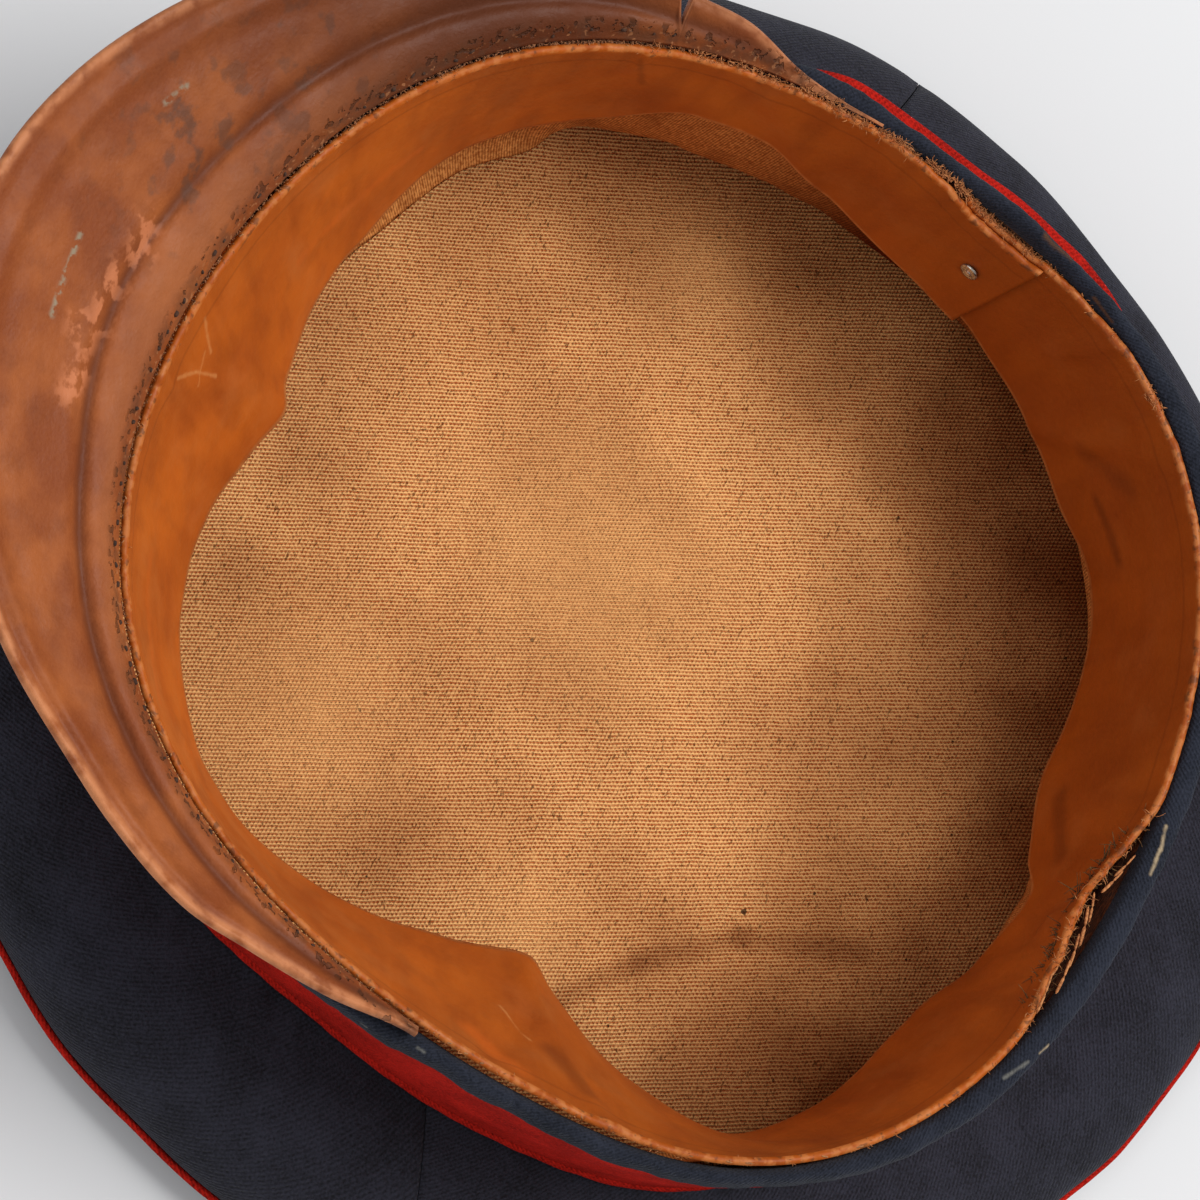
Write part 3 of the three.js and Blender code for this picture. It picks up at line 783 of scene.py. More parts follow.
def ribbed_finish(light_and_shade_spots, stain, lit_middle):
    f = Finish("lining_ribbed")
    sway = f.times(f.noise(5, detail=2, seed=1), 5.0)
    rib = f.lines(RIB_ACROSS, RIB_PITCH, sway)
    slant = (RIB_ALONG + RIB_ACROSS * 0.55).normalized()
    bead = f.lines(slant, 0.62, f.times(f.noise(2.5, detail=2, seed=2), 3.0))
    weave = f.plus(f.times(rib, 0.78), f.times(bead, 0.22))
    speckle = f.noise(0.42, detail=3, seed=3)
    shade = f.plus(f.times(weave, 0.6), f.times(speckle, 0.75))
    colour = f.mix(f.band(shade, 0.3, 0.82), rgb(182, 84, 36), rgb(255, 194, 124))
    turn = math.degrees(math.atan2(RIB_ALONG.y, RIB_ALONG.x)) - 32
    fleck = f.band(f.noise(0.5, detail=2, stretch=(0.42, 1.3, 1), turn=-turn, seed=4), 0.6, 0.7)
    colour = f.over(colour, rgb(104, 54, 18), fleck, 0.7)
    speck = f.band(f.noise(1.5, detail=0.5, seed=6), 0.815, 0.84)
    colour = f.over(colour, rgb(48, 30, 18), speck, 0.85)
    # Painted light and shade: pools of painted light, and dark spots of painted shade multiplied in
    for light_and_shade_spot in light_and_shade_spots:
        mask = f.near(light_and_shade_spot["point"], light_and_shade_spot["reach"], 0.35)
        if light_and_shade_spot["dark"]:
            colour = f.over(colour, rgb(124, 66, 32), mask, light_and_shade_spot["strength"], "MULTIPLY")
        else:
            colour = f.over(colour, rgb(255, 188, 118), mask, light_and_shade_spot["strength"])
    # Darker along a line across the lower part of the lining
    for start, end in zip(stain, stain[1:]):
        darker_line = f.near_line(start, end, 4.5, 0.5)
        colour = f.over(colour, rgb(140, 90, 54), darker_line, 0.35, "MULTIPLY")
    # Painted shade: the lining darkens away from its lit middle, towards the walls that shade it
    away = f.vector("DISTANCE", f.place, lit_middle)
    away = f.plus(away, f.band(f.noise(24, detail=2, seed=10), 0.3, 0.7, -9, 9))
    colour = f.mix(f.band(away, 55, 140), colour, rgb(124, 80, 40), "MULTIPLY")
    # Painted shade: broad soft blotches over the lining's swells
    cloudy_shade = f.band(f.noise(30, detail=2, seed=8), 0.4, 0.66, 0, 0.25)
    colour = f.mix(cloudy_shade, colour, rgb(140, 96, 66), "MULTIPLY")
    heights = [(rib, 0.2), (bead, 0.1), (speckle, 0.1), (f.noise(16, detail=2, seed=9), 1.2)]
    return f.finish(colour, 0.9, heights, Specular_IOR_Level=0.05)


def smooth_lining_finish():
    f = Finish("lining_smooth")
    threads = f.lines((1, 0, 0), 0.55, f.times(f.noise(3, seed=1), 2.0), where=f.cloth)
    speckle = f.noise(0.6, detail=4, seed=2)
    shade = f.plus(f.times(threads, 0.25), speckle)
    colour = f.mix(f.band(shade, 0.38, 0.95), rgb(150, 82, 34), rgb(232, 154, 84))
    colour = f.mix(f.band(f.noise(9, seed=3), 0.5, 0.75, 0, 0.4), colour, rgb(128, 66, 26))
    # Painted shade on the smooth lining near angle -106, under the sweatband's edge
    colour = f.mix(f.measure("painted_shade"), colour, rgb(112, 68, 34), "MULTIPLY")
    heights = [(f.noise(3.5, detail=3, seed=4), 0.5), (speckle, 0.25)]
    return f.finish(colour, 0.9, heights, Specular_IOR_Level=0.05)


def board_finish():
    f = Finish("stiffener_board")
    fibre = f.noise(1.2, detail=4, stretch=(1, 1, 3), seed=1)
    colour = f.mix(f.band(fibre, 0.35, 0.7), rgb(46, 26, 14), rgb(112, 62, 30))
    return f.finish(colour, 0.85, [(fibre, 0.4)])


def thread_finish(name, dark, light):
    f = Finish(name)
    fuzz = f.noise(0.5, detail=4, seed=1)
    colour = f.mix(f.band(fuzz, 0.3, 0.7), dark, light)
    return f.finish(colour, 0.9, [(fuzz, 0.12)])


def rivet_finish():
    f = Finish("rivet_steel")
    stain = f.band(f.noise(0.7, detail=4, seed=1), 0.48, 0.7)
    colour = f.mix(stain, rgb(206, 200, 188), rgb(104, 82, 62))
    roughness = f.band(stain, 0, 1, 0.25, 0.6)
    return f.finish(colour, roughness, [(f.noise(0.3, seed=2), 0.05)], Metallic=0.9)


navy = cloth_finish("navy_cloth", rgb(27, 26, 29), rgb(52, 52, 62), 0.08)
red = cloth_finish("red_cloth", rgb(108, 15, 9), rgb(200, 36, 25), 0)
board = board_finish()

# The crown. ROUND is the number of steps that fine pieces take round the cap.
ROUND = 720


def make_crown_top():
    profile = [(60, 0), (9, 0), (4, 0.5), (1.4, 1.9), (0, 3.5), (0.4, 5.7), (2.4, 4.6), (8, 2.3), (60, 2)]
    path = refine(profile, 40, closed=False)
    angles = full_turn(360)
    points = [crown_point(0, CROWN_HALF_WIDTH, 0)]
    points[0].xy = (RIM_MIDDLE + CROWN_MIDDLE).xy
    for inset, height in path:
        for angle in angles:
            swell = 0.2 * wander(angle, 30, 3) * bell(height - 3.4, 1.6)
            points.append(crown_point(angle, inset - swell, max(0, height)))
    points.append(points[0] + Vector((0, 0, 2)))
    size = len(angles)
    faces = []
    for j in range(size):
        k = (j + 1) % size
        faces.append((0, 1 + k, 1 + j))
        faces.append((len(points) - 1, len(points) - 1 - size + j, len(points) - 1 - size + k))
        for i in range(len(path) - 1):
            a = 1 + i * size
            faces.append((a + j, a + k, a + size + k, a + size + j))
    maps = [tuple(tuple(points[v].xy) for v in face) for face in faces]
    return make_piece("crown_top_cloth", points, faces, [navy], "navy_cloth", ["crown_top"], maps)


def piping_section(centre, angle, radius, seed):
    way = heading(angle)
    swell = radius * (1 + 0.07 * wander(angle, 4, seed))
    sway = 0.18 * wander(angle, 12, seed + 1)
    centre = centre + Vector((0, 0, sway))
    turns = (math.radians(turn) for turn in full_turn(12))
    return [centre + way * math.cos(t) * swell + Vector((0, 0, math.sin(t) * swell)) for t in turns]


def make_crown_piping():
    def section(angle):
        tucked = 0.6 * bell(turn_between(angle, -105), 48)
        centre = crown_point(angle, tucked, CROWN_PIPING_HEIGHT - tucked)
        return piping_section(centre, angle, CROWN_PIPING_RADIUS, 11)

    return lofted("crown_piping_cord", section, full_turn(ROUND), [red], "red_cloth", ["crown_piping"])


def make_band_piping():
    def section(angle):
        return piping_section(rim_point(angle, 2.2, BAND_DEPTH), angle, BAND_PIPING_RADIUS, 14)

    return lofted("band_piping_cord", section, full_turn(ROUND), [red], "red_cloth", ["band_piping"])


def crown_side_face(angle, share):
    """A point of the crown side's outer face and its way out, from the band (0) to the piping (1)."""
    inner = rim_point(angle, 2.6, BAND_DEPTH + BAND_PIPING_RADIUS + 0.6)
    outer = crown_point(angle, 0.45, CROWN_PIPING_HEIGHT + CROWN_PIPING_RADIUS + 0.3)
    flat = Vector((outer.x - inner.x, outer.y - inner.y, 0))
    reach = flat.length
    top = inner.z + 1.8
    shoulder = outer.z + 0.6 * (top - outer.z)
    corners = [(0, inner.z), (reach * 0.45, top), (reach + 0.3, shoulder), (reach, outer.z)]
    corners = [Vector(corner) for corner in corners]
    s = share
    weights = [(1 - s) ** 3, 3 * s * (1 - s) ** 2, 3 * s * s * (1 - s), s ** 3]
    point = sum((c * w for c, w in zip(corners, weights)), Vector((0, 0)))
    slopes = [3 * (1 - s) ** 2, 6 * s * (1 - s), 3 * s * s]
    along = sum(((corners[n + 1] - corners[n]) * slopes[n] for n in range(3)), Vector((0, 0))).normalized()
    way = flat.normalized()
    place = Vector((inner.x, inner.y, 0)) + way * point.x + Vector((0, 0, point.y))
    normal = way * -along.y + Vector((0, 0, along.x))
    return place, normal


def crown_side_relief(angle, share):
    """Soft hollows, gathers at the band, a crease at the back and the dips beside the seams."""
    broad = 0.7 * wander(angle, 38, 21) + 0.35 * wander(angle + 9 * share, 13, 22)
    gathers = 0.45 * wander(angle, 5.5, 23) * bell(share - 0.1, 0.16)
    crease = -0.9 * bell(turn_between(angle, 160), 11) * bell(share - 0.34, 0.1)
    shelf = 0.5 * bell(turn_between(angle, 160), 13) * bell(share - 0.12, 0.14)
    seam = sum(-0.7 * bell(turn_between(angle, seam), 0.9) for seam in CROWN_SEAMS.values())
    held = smoothstep(share, 0, 0.12) * smoothstep(1 - share, 0, 0.12)
    return (broad * 0.7 + gathers + crease + shelf) * held + seam * smoothstep(1 - share, 0, 0.15)


def make_crown_side(name, first, last, node):
    def section(angle):
        over = []
        under = []
        for share in spread(0, 1, 34):
            place, normal = crown_side_face(angle, share)
            over.append(place + normal * crown_side_relief(angle, share))
        for share in spread(1, 0, 10):
            place, normal = crown_side_face(angle, share)
            under.append(place - normal * CROWN_CLOTH)
        return over + under

    angles = spread(first + 0.05, last - 0.05, int((last - first) * 2))
    return lofted(name, section, angles, [navy], "navy_cloth", [node], closed=False)


# The band
def make_band():
    def section(angle):
        top = around(RIM_STRIP, angle, "width") - 0.1
        skirt = around(RIM_STRIP, angle, "skirt")
        pouch = around(BAND_POUCH, angle, "out")
        face = [
            (top, skirt + 0.3),
            (top + pouch, skirt + 3),
            (BAND_OUT + 0.3 * pouch, 20),
            (BAND_OUT, 29),
            (BAND_OUT, BAND_DEPTH - 2),
        ]
        outer = []
        for k, (out, down) in enumerate(refine(face, 26, closed=False)):
            share = k / 25
            fold = 0.35 * wander(angle + 40 * share, 16, 31)
            fold += 0.3 * wander(angle, 7, 32) * bell(share - 0.15, 0.2)
            outer.append((out + fold * math.sin(math.pi * share), down))
        inner = [(out - CLOTH + 0.1, down) for out, down in refine(face, 8, closed=False)]
        return [rim_point(angle, out, down) for out, down in outer + inner[::-1]]

    return lofted("band_cloth", section, full_turn(ROUND), [red], "red_cloth", ["band"])


def make_stiffener():
    def section(angle):
        ragged = 0.5 * wander(angle, 3, 41)
        corners = [(0.2, 3.6 + ragged), (0.8, 3.3 + ragged), (1.4, 3.6 + ragged), (1.4, 37.2), (0.2, 37.2)]
        return [rim_point(angle, out, down) for out, down in corners]

    return lofted("band_board", section, full_turn(ROUND), [board], "stiffener_board", ["band_stiffener"])


def make_rim_strip():
    def section(angle):
        width = around(RIM_STRIP, angle, "width") + 0.3 * wander(angle, 9, 51) + 0.1 * wander(angle, 2, 52)
        skirt = around(RIM_STRIP, angle, "skirt") + 0.3 * wander(angle, 14, 53)
        lump = 0.25 * wander(angle, 6, 54)
        tick = -0.5 * bell(turn_between(angle, 93), 0.35)
        inner = width - CLOTH
        corners = [
            (0.2, 1.4),
            (0.8, 0.2 - lump - tick),
            (width / 2, -0.3 - lump - tick),
            (width - 0.6, 0.2 - lump - tick),
            (width, 1.6),
            (width + 0.15, skirt * 0.6),
            (width, skirt),
            (inner, skirt),
            (inner, 3.2),
            (0.2, 3.2),
        ]
        return [rim_point(angle, out, down) for out, down in refine(corners, 34)]

    return lofted("rim_strip_cloth", section, full_turn(2 * ROUND), [], "navy_cloth", ["rim_strip"])


# The visor
VISOR_INNER = 58
VISOR_EDGE = 5
VISOR_OUTER = 16


def visor_width(angle):
    width = around(VISOR_WIDTHS, angle, "width")
    left = VISOR_SLIT["left"]
    away = abs(turn_between(angle, VISOR_SLIT["angle"]))
    if away < VISOR_SLIT["half"]:
        return left + (width - left) * away / VISOR_SLIT["half"]
    return width


def visor_relief(angle, d, width):
    """Height of the visor's inner face over its smooth slope, at a distance from its root."""
    groove = around(VISOR_WIDTHS, angle, "groove")
    border = around(VISOR_WIDTHS, angle, "border")
    scale = min(1, width / 16)
    root = -1.3 * bell(d, 1.1)
    roll = 1.1 * bell(d - groove * 0.48, groove * 0.33 + 0.3)
    dip = -1.25 * bell(d - groove, 1.25)
    shoulder = 0.35 * bell(d - groove - 2.6, 1.6)
    ridge = 0.75 * bell(d - (width - border), 1.15)
    before = -0.3 * bell(d - (width - border - 2.8), 1.4)
    after = -0.35 * bell(d - (width - border * 0.45), 0.7)
    rough = 0.16 * noise.noise(Vector((angle * 0.35, d * 0.28, 2.0)))
    held = smoothstep(angle, VISOR_ENDS["from"], -76)
    return root * held + scale * (roll + dip + shoulder + ridge + before + after) + rough


def visor_section(angle):
    width = visor_width(angle)
    section = []
    thickness = VISOR_THICKNESS * (0.15 + 0.85 * smoothstep(angle, -86, -75))
    for share in spread(0, 1, VISOR_INNER):
        d = width * share
        up = VISOR_BOTTOM + thickness + VISOR_SLOPE * d + visor_relief(angle, d, width)
        section.append(rim_point(angle, VISOR_ROOT + d, -up))
    end_height = VISOR_BOTTOM + thickness / 2 + VISOR_SLOPE * width
    middle = rim_point(angle, VISOR_ROOT + width, -end_height)
    way = heading(angle)
    for k in range(1, VISOR_EDGE + 1):
        turn = math.pi * (0.5 - k / (VISOR_EDGE + 1))
        radius = thickness / 2
        section.append(middle + way * math.cos(turn) * radius * 0.8 + Vector((0, 0, math.sin(turn) * radius)))
    for share in spread(1, 0, VISOR_OUTER):
        d = width * share
        section.append(rim_point(angle, VISOR_ROOT + d, -(VISOR_BOTTOM + VISOR_SLOPE * d)))
    return section


def visor_angles():
    slit = VISOR_SLIT["angle"]
    near = [slit + offset for offset in spread(-1.2, 1.2, 25)]
    before = spread(VISOR_ENDS["from"], slit - 1.3, 50)
    after = spread(slit + 1.3, VISOR_ENDS["to"], 300)
    return before + near + after


def make_visor():
    angles = visor_angles()
    points, faces, maps = loft([visor_section(angle) for angle in angles], angles, closed=False)
    size = VISOR_INNER + VISOR_EDGE + VISOR_OUTER
    root = []
    edge = []
    groove = []
    painted_shade = []
    for angle in angles:
        width = visor_width(angle)
        line = around(VISOR_WIDTHS, angle, "groove")
        inner = [width * share for share in spread(0, 1, VISOR_INNER)]
        away = inner + [width] * (VISOR_EDGE + VISOR_OUTER)
        root += away
        edge += [width - d for d in away]
        groove += [d - line for d in away]
        # Painted shade on the visor, strongest round angle -45
        painted_shade += [bell(turn_between(angle, -45), 25)] * len(away)
    outer_from = VISOR_INNER + VISOR_EDGE - 1
    quads = len(angles) - 1
    looks = [1 if j >= outer_from and j < size - 1 else 0 for _ in range(quads) for j in range(size)] + [0, 0]
    measures = {"root": root, "edge": edge, "groove": groove, "painted_shade": painted_shade}
    more = {"face_looks": looks, "measures": measures}
    return make_piece("visor_leather", points, faces, [], "visor_leather", ["visor"], maps, **more)


# The sweatband
SWEATBAND_INNER = 34
SWEATBAND_OUTER = 8


def sweatband_inset(angle, share):
    """How far the sweatband's outer face stands in from the rim line, at a share of its depth."""
    lean = around(SWEATBAND_EDGE, angle, "lean")
    loose = around(SWEATBAND_SEAM, angle, "inward")
    return SWEATBAND_GAP + lean * share ** 1.15 + loose * (1 - share) ** 2


def sweatband_relief(angle, share):
    """Creases and soft waves that stand in from the leather's smooth face."""
    height = 0.3 * wander(angle + 14 * share, 11, 61) * smoothstep(share, 0.02, 0.3)
    for row in SWEATBAND_CREASES:
        offset = turn_between(angle, row["angle"]) - row["slant"] * share
        window = smoothstep(share, row["start"] - 0.08, row["start"] + 0.05)
        window *= 1 - smoothstep(share, row["end"] - 0.05, row["end"] + 0.1)
        height += row["depth"] * bell(offset, row["width"]) * window
    return height


def sweatband_rows(angle):
    worn = 1 + 1.2 * bell(turn_between(angle, -100), 22) + 0.9 * bell(turn_between(angle, -5), 60)
    worn += 2.2 * bell(turn_between(angle, 168), 9)
    ragged = worn * (0.22 * wander(angle, 5, 63) + 0.14 * wander(angle, 1.3, 64))
    top = around(SWEATBAND_SEAM, angle, "drop") - 0.7 + ragged
    edge = around(SWEATBAND_EDGE, angle, "depth") + 0.15 * wander(angle, 8, 65)
    return top, edge


def sweatband_section(angle, lift):
    top, edge = sweatband_rows(angle)
    outer = []
    inner = []
    for share in spread(0, 1, SWEATBAND_OUTER):
        outer.append(rim_point(angle, -sweatband_inset(angle, share) - lift, top + (edge - top) * share))
    for share in spread(1, 0, SWEATBAND_INNER):
        relief = sweatband_relief(angle, share)
        inset = sweatband_inset(angle, share) + lift + SWEATBAND_THICKNESS + relief
        inner.append(rim_point(angle, -inset, top + (edge - top) * share))
    lip = (inner[-1] + outer[0]) / 2 + Vector((0, 0, 0.35))
    hem = (inner[0] + outer[-1]) / 2 - Vector((0, 0, 0.3))
    return outer + [hem] + inner + [lip]


def sweatband_lift(angle):
    past = angle - SWEATBAND_LAP["end"]
    length = SWEATBAND_LAP["length"]
    if past >= 2 * length:
        return 0
    return SWEATBAND_LAP["step"] * smoothstep(2 * length - past, 0, length)


def make_sweatband():
    end = SWEATBAND_LAP["end"]
    angles = spread(end, end + 360 + SWEATBAND_LAP["length"], 900)
    sections = [sweatband_section(angle, sweatband_lift(angle)) for angle in angles]
    points, faces, maps = loft(sections, angles, closed=False)
    top = []
    free = []
    shade = []
    for angle in angles:
        depth = sweatband_rows(angle)[1]
        shares = spread(0, 1, SWEATBAND_OUTER) + [1] + spread(1, 0, SWEATBAND_INNER) + [0]
        top += [depth * share for share in shares]
        free += [depth * (1 - share) for share in shares]
        # Painted shade on the sweatband's inner face, round angles -136 and 104
        painted_shade = 0.6 * bell(turn_between(angle, -136), 56) + 0.35 * bell(turn_between(angle, 104), 20)
        shade += [painted_shade] * len(shares)
    names = "sweatband_leather", ["sweatband"]
    measures = {"top": top, "free": free, "shade": shade}
    return make_piece("sweatband_leather", points, faces, [], *names, maps, measures=measures)


def rivet_place():
    """The rivet's middle, on the inner face of the sweatband's lap."""
    top, edge = sweatband_rows(RIVET["angle"])
    share = (RIVET["depth"] - top) / (edge - top)
    inset = sweatband_inset(RIVET["angle"], share) + SWEATBAND_THICKNESS + SWEATBAND_LAP["step"]
    return rim_point(RIVET["angle"], -inset, RIVET["depth"])


def make_rivet(steel):
    face = rivet_place()
    inward = -heading(RIVET["angle"])
    side = inward.cross(Vector((0, 0, 1)))
    flange = [(0, -0.1), (1.0, -0.1), (1.02, 0.25), (0.9, 0.5), (0.66, 0.5)]
    profile = flange + [(0.55, 0.38), (0.42, 0.7), (0.2, 0.95), (0, 1)]
    size = 28
    points = []
    for out, rise in profile[1:-1]:
        for turn in full_turn(size):
            t = math.radians(turn)
            spoke = side * math.cos(t) + Vector((0, 0, math.sin(t)))
            points.append(face + spoke * out * RIVET["radius"] + inward * rise * RIVET["rise"])
    base = len(points)
    points.append(face + inward * profile[0][1] * RIVET["rise"])
    points.append(face + inward * profile[-1][1] * RIVET["rise"])
    faces = []
    last = (len(profile) - 3) * size
    for j in range(size):
        k = (j + 1) % size
        faces.append((base, k, j))
        faces.append((base + 1, last + j, last + k))
        for i in range(len(profile) - 3):
            a = i * size
            faces.append((a + j, a + k, a + size + k, a + size + j))
    maps = [tuple((0, 0) for _ in face) for face in faces]
    faces = faces_outward(points, faces, maps)
    return make_piece("rivet_dome", points, faces, [steel], "steel", ["sweatband_rivet"])


# The lining
def lining_edge(angle, out, height):
    point = rim_point(angle, around(LINING_EDGE, angle, "out") + out, 0)
    point.z = height
    return point


def make_lining_side(look):
    def section(angle):
        top = min(LINING_TOP_DEPTH, around(SWEATBAND_EDGE, angle, "depth") - 6)
        hem = lining_edge(angle, 0.5 * wander(angle, 12, 71), LINING_EDGE_HEIGHT + 0.35)
        high = rim_point(angle, -0.15, top)
        low = rim_point(angle, -0.15, BAND_DEPTH - 3)
        middle = low.lerp(hem, 0.3)
        middle.z = hem.z + 0.28 * (low.z - hem.z)
        way = heading(angle)
        pucker = 0.3 * wander(angle, 7, 72)
        for row in LINING_PUCKERS:
            pucker -= row["depth"] * bell(turn_between(angle, row["angle"]), row["width"])
        corners = [tuple(point) for point in (high, low, middle, hem)]
        wall = [Vector(point) for point in refine(corners, 22, closed=False)]
        inside = []
        for k, point in enumerate(wall):
            loose = math.sin(math.pi * min(1, max(0, (k - 5) / 16)))
            lift = Vector((0, 0, 0.5 * pucker * loose))
            inside.append(point - way * (LINING + pucker * loose * 0.8) + lift)
        return wall[::4] + inside[::-1]

    angles = full_turn(ROUND)
    size = len(section(0))
    # Painted shade on the lining's side, strongest near angle -106
    painted_shade = [bell(turn_between(angle, -106), 18) for angle in angles for _ in range(size)]
    names = "lining_cloth", ["lining_side"]
    return lofted("lining_side_cloth", section, angles, [look], *names, measures={"painted_shade": painted_shade})


def lining_height(x, y, share):
    bowl = LINING_MIDDLE_HEIGHT + (LINING_EDGE_HEIGHT - LINING_MIDDLE_HEIGHT) * share ** 3
    fade = 1 - share ** 4
    swells = 0
    for row in LINING_SWELLS:
        swells += row["rise"] * bell(math.hypot(x - row["x"], y - row["y"]), row["spread"])
    ripple = 0.35 * noise.noise(Vector((x / 17, y / 17, 4.0)))
    return bowl + fade * (swells + ripple)


def make_lining_top():
    angles = full_turn(360)
    shares = spread(0, 1, 71)[1:]
    size = len(angles)
    points = [Vector((RIM_MIDDLE.x, RIM_MIDDLE.y, lining_height(0, 0, 0)))]
    for share in shares:
        for angle in angles:
            edge = lining_edge(angle, 0.4, 0) - RIM_MIDDLE
            x, y = edge.x * share, edge.y * share
            points.append(Vector((x + RIM_MIDDLE.x, y + RIM_MIDDLE.y, lining_height(x, y, share))))
    faces = []
    for j in range(size):
        k = (j + 1) % size
        faces.append((0, 1 + j, 1 + k))
        for i in range(len(shares) - 1):
            a = 1 + i * size
            faces.append((a + j, a + size + j, a + size + k, a + k))
    maps = [tuple(tuple(points[v].xy) for v in face) for face in faces]
    return make_piece("lining_ribbed_cloth", points, faces, [], "lining_cloth", ["lining_top"], maps)


# Stitches
def tube(path, sizes, way, sides):
    """Points and faces of a tube along a path, its rings square to one way."""
    side = way.orthogonal().normalized()
    other = way.cross(side)
    points = []
    for centre, size in zip(path, sizes):
        for turn in full_turn(sides):
            t = math.radians(turn)
            points.append(centre + (side * math.cos(t) + other * math.sin(t)) * size)
    last = (len(path) - 1) * sides
    faces = [tuple(range(sides))[::-1], tuple(range(last, last + sides))]
    for a in range(0, last, sides):
        for j in range(sides):
            k = (j + 1) % sides
            faces.append((a + j, a + k, a + sides + k, a + sides + j))
    return points, faces


def make_tubes(name, tubes, look, slot):
    """One piece of many tubes."""
    points = []
    faces = []
    for more, shapes in tubes:
        faces += [tuple(v + len(points) for v in shape) for shape in shapes]
        points += more
    return make_piece(name, points, faces, [look], slot)


def make_threads(name, threads, look, slot):
    shape = [(0, 0.35), (0.14, 1), (0.5, 1.15), (0.86, 1), (1, 0.35)]
    tubes = []
    for start, end, radius in threads:
        path = [start.lerp(end, share) for share, _ in shape]
        tubes.append(tube(path, [radius * size for _, size in shape], (end - start).normalized(), 6))
    make_tubes(name, tubes, look, slot)


def rim_threads():
    """Light stitches along the sweatband's sewn edge, uneven as hand sewing is."""
    chance = random.Random(5)
    threads = []
    pitch = 3.2
    count = int(2 * math.pi * RIM_RADIUS / pitch)
    for angle in full_turn(count):
        loose = 156 < angle < 181 or -128 < turn_between(angle, 0) < -62
        half = chance.uniform(0.2, 0.75)
        slant = chance.uniform(-0.3, 0.3)
        radius = chance.uniform(0.09, 0.17)
        if loose or chance.random() < 0.6:
            continue
        top = sweatband_rows(angle)[0]
        step = math.degrees(half / RIM_RADIUS)
        start = rim_point(angle - step, -0.7 + slant, top - 0.2)
        end = rim_point(angle + step, -0.7 - slant, top - 0.15)
        threads.append((start, end, radius))
    return threads


def visor_stitch_holes():
    """Dark, uneven spots along the visor's root, where its stitches went."""
    chance = random.Random(9)
    spots = []
    step_angle = math.degrees(2.9 / RIM_RADIUS)
    for k in range(int(134 / step_angle)):
        angle = -64 + (k + chance.uniform(-0.2, 0.2)) * step_angle
        half = math.degrees(chance.uniform(0.15, 0.5) / RIM_RADIUS)
        slant = chance.uniform(-0.2, 0.2)
        middle = chance.uniform(0.5, 1.1)
        radius = chance.uniform(0.22, 0.42)
        if chance.random() < 0.2:
            continue
        ends = []
        for side in (-1, 1):
            d = middle + side * slant
            up = VISOR_BOTTOM + VISOR_THICKNESS + VISOR_SLOPE * d + visor_relief(angle, d, visor_width(angle))
            ends.append(rim_point(angle + side * half, VISOR_ROOT + d, -up))
        spots.append((ends[0], ends[1], radius))
    return spots


# Torn fibres along the rim: tufts between two angles, where they stand and which way they lie
FRAY = table(
    "first last tufts fibres length out down along up",
    (-114, -84, 84, 15, 1.5, -0.7, 0.1, 1.0, 0.5),
    (-84, -62, 34, 9, 1.4, -0.4, -0.6, 1.0, 0.5),
    (-119, -114, 8, 16, 1.5, -0.3, 0.8, 1.0, 0.4),
    (-135, -130, 8, 16, 1.6, -1.0, 0.3, 1.0, 0.6),
    (-130, 155, 190, 4, 0.9, -0.7, 0.1, 1.0, 0.4),
    (153, 182, 40, 8, 1.9, -0.9, 0.2, 1.6, 0.1),
)
SEAM_CRUST = table(
    "first last tufts fibres length out down along up",
    (-66, -20, 190, 7, 0.9, 0.2, 0.1, 1.0, 0.2),
    (-20, 40, 150, 6, 0.8, 0.2, 0.1, 1.0, 0.2),
    (40, 74, 60, 5, 0.7, 0.1, 0.1, 1.0, 0.2),
)
GAP_FRAY = table(
    "first last tufts fibres length out down along up",
    (155, 181, 44, 9, 3.6, -0.6, 3.0, 1.6, 0.1),
    (-122, -104, 12, 8, 2.0, 0.3, 1.4, 1.4, 0.3),
)


def fibre(start, way, length, curl, radius):
    """A thin fibre that curls and tapers."""
    steps = 4
    path = [start]
    for _ in range(steps):
        way = (way + curl).normalized()
        path.append(path[-1] + way * length / steps)
    return tube(path, [radius * (1 - 0.7 * k / steps) for k in range(steps + 1)], way, 4)


# Splinters of leather that hang over the gap behind the sweatband
SPLINTERS = table(
    "angle out down to_angle to_out to_down radius",
    (155.2, -1.4, -0.9, 159.6, -3.4, -0.9, 0.22),
    (159.4, -3.3, -0.9, 161.0, -3.0, 0.2, 0.17),
    (158.5, -0.7, -0.2, 162.5, -1.9, 0.1, 0.26),
    (161.8, -1.2, 0.6, 165.4, -3.0, 0.2, 0.24),
    (164.5, -1.6, 0.9, 168.6, -4.0, 0.3, 0.3),
    (167.2, -2.4, 0.8, 170.3, -4.4, 0.1, 0.22),
    (170.8, -3.2, 0.4, 174.4, -1.5, 0.8, 0.26),
    (173.2, -2.6, 0.3, 176.6, -0.8, 0.6, 0.2),
)


def splinters():
    rows = []
    for row in SPLINTERS:
        start = rim_point(row["angle"], row["out"], row["down"])
        end = rim_point(row["to_angle"], row["to_out"], row["to_down"])
        bend = start.lerp(end, 0.5) + Vector((0, 0, 0.4))
        rows += [(start, bend, row["radius"]), (bend, end, row["radius"] * 0.8)]
    return rows


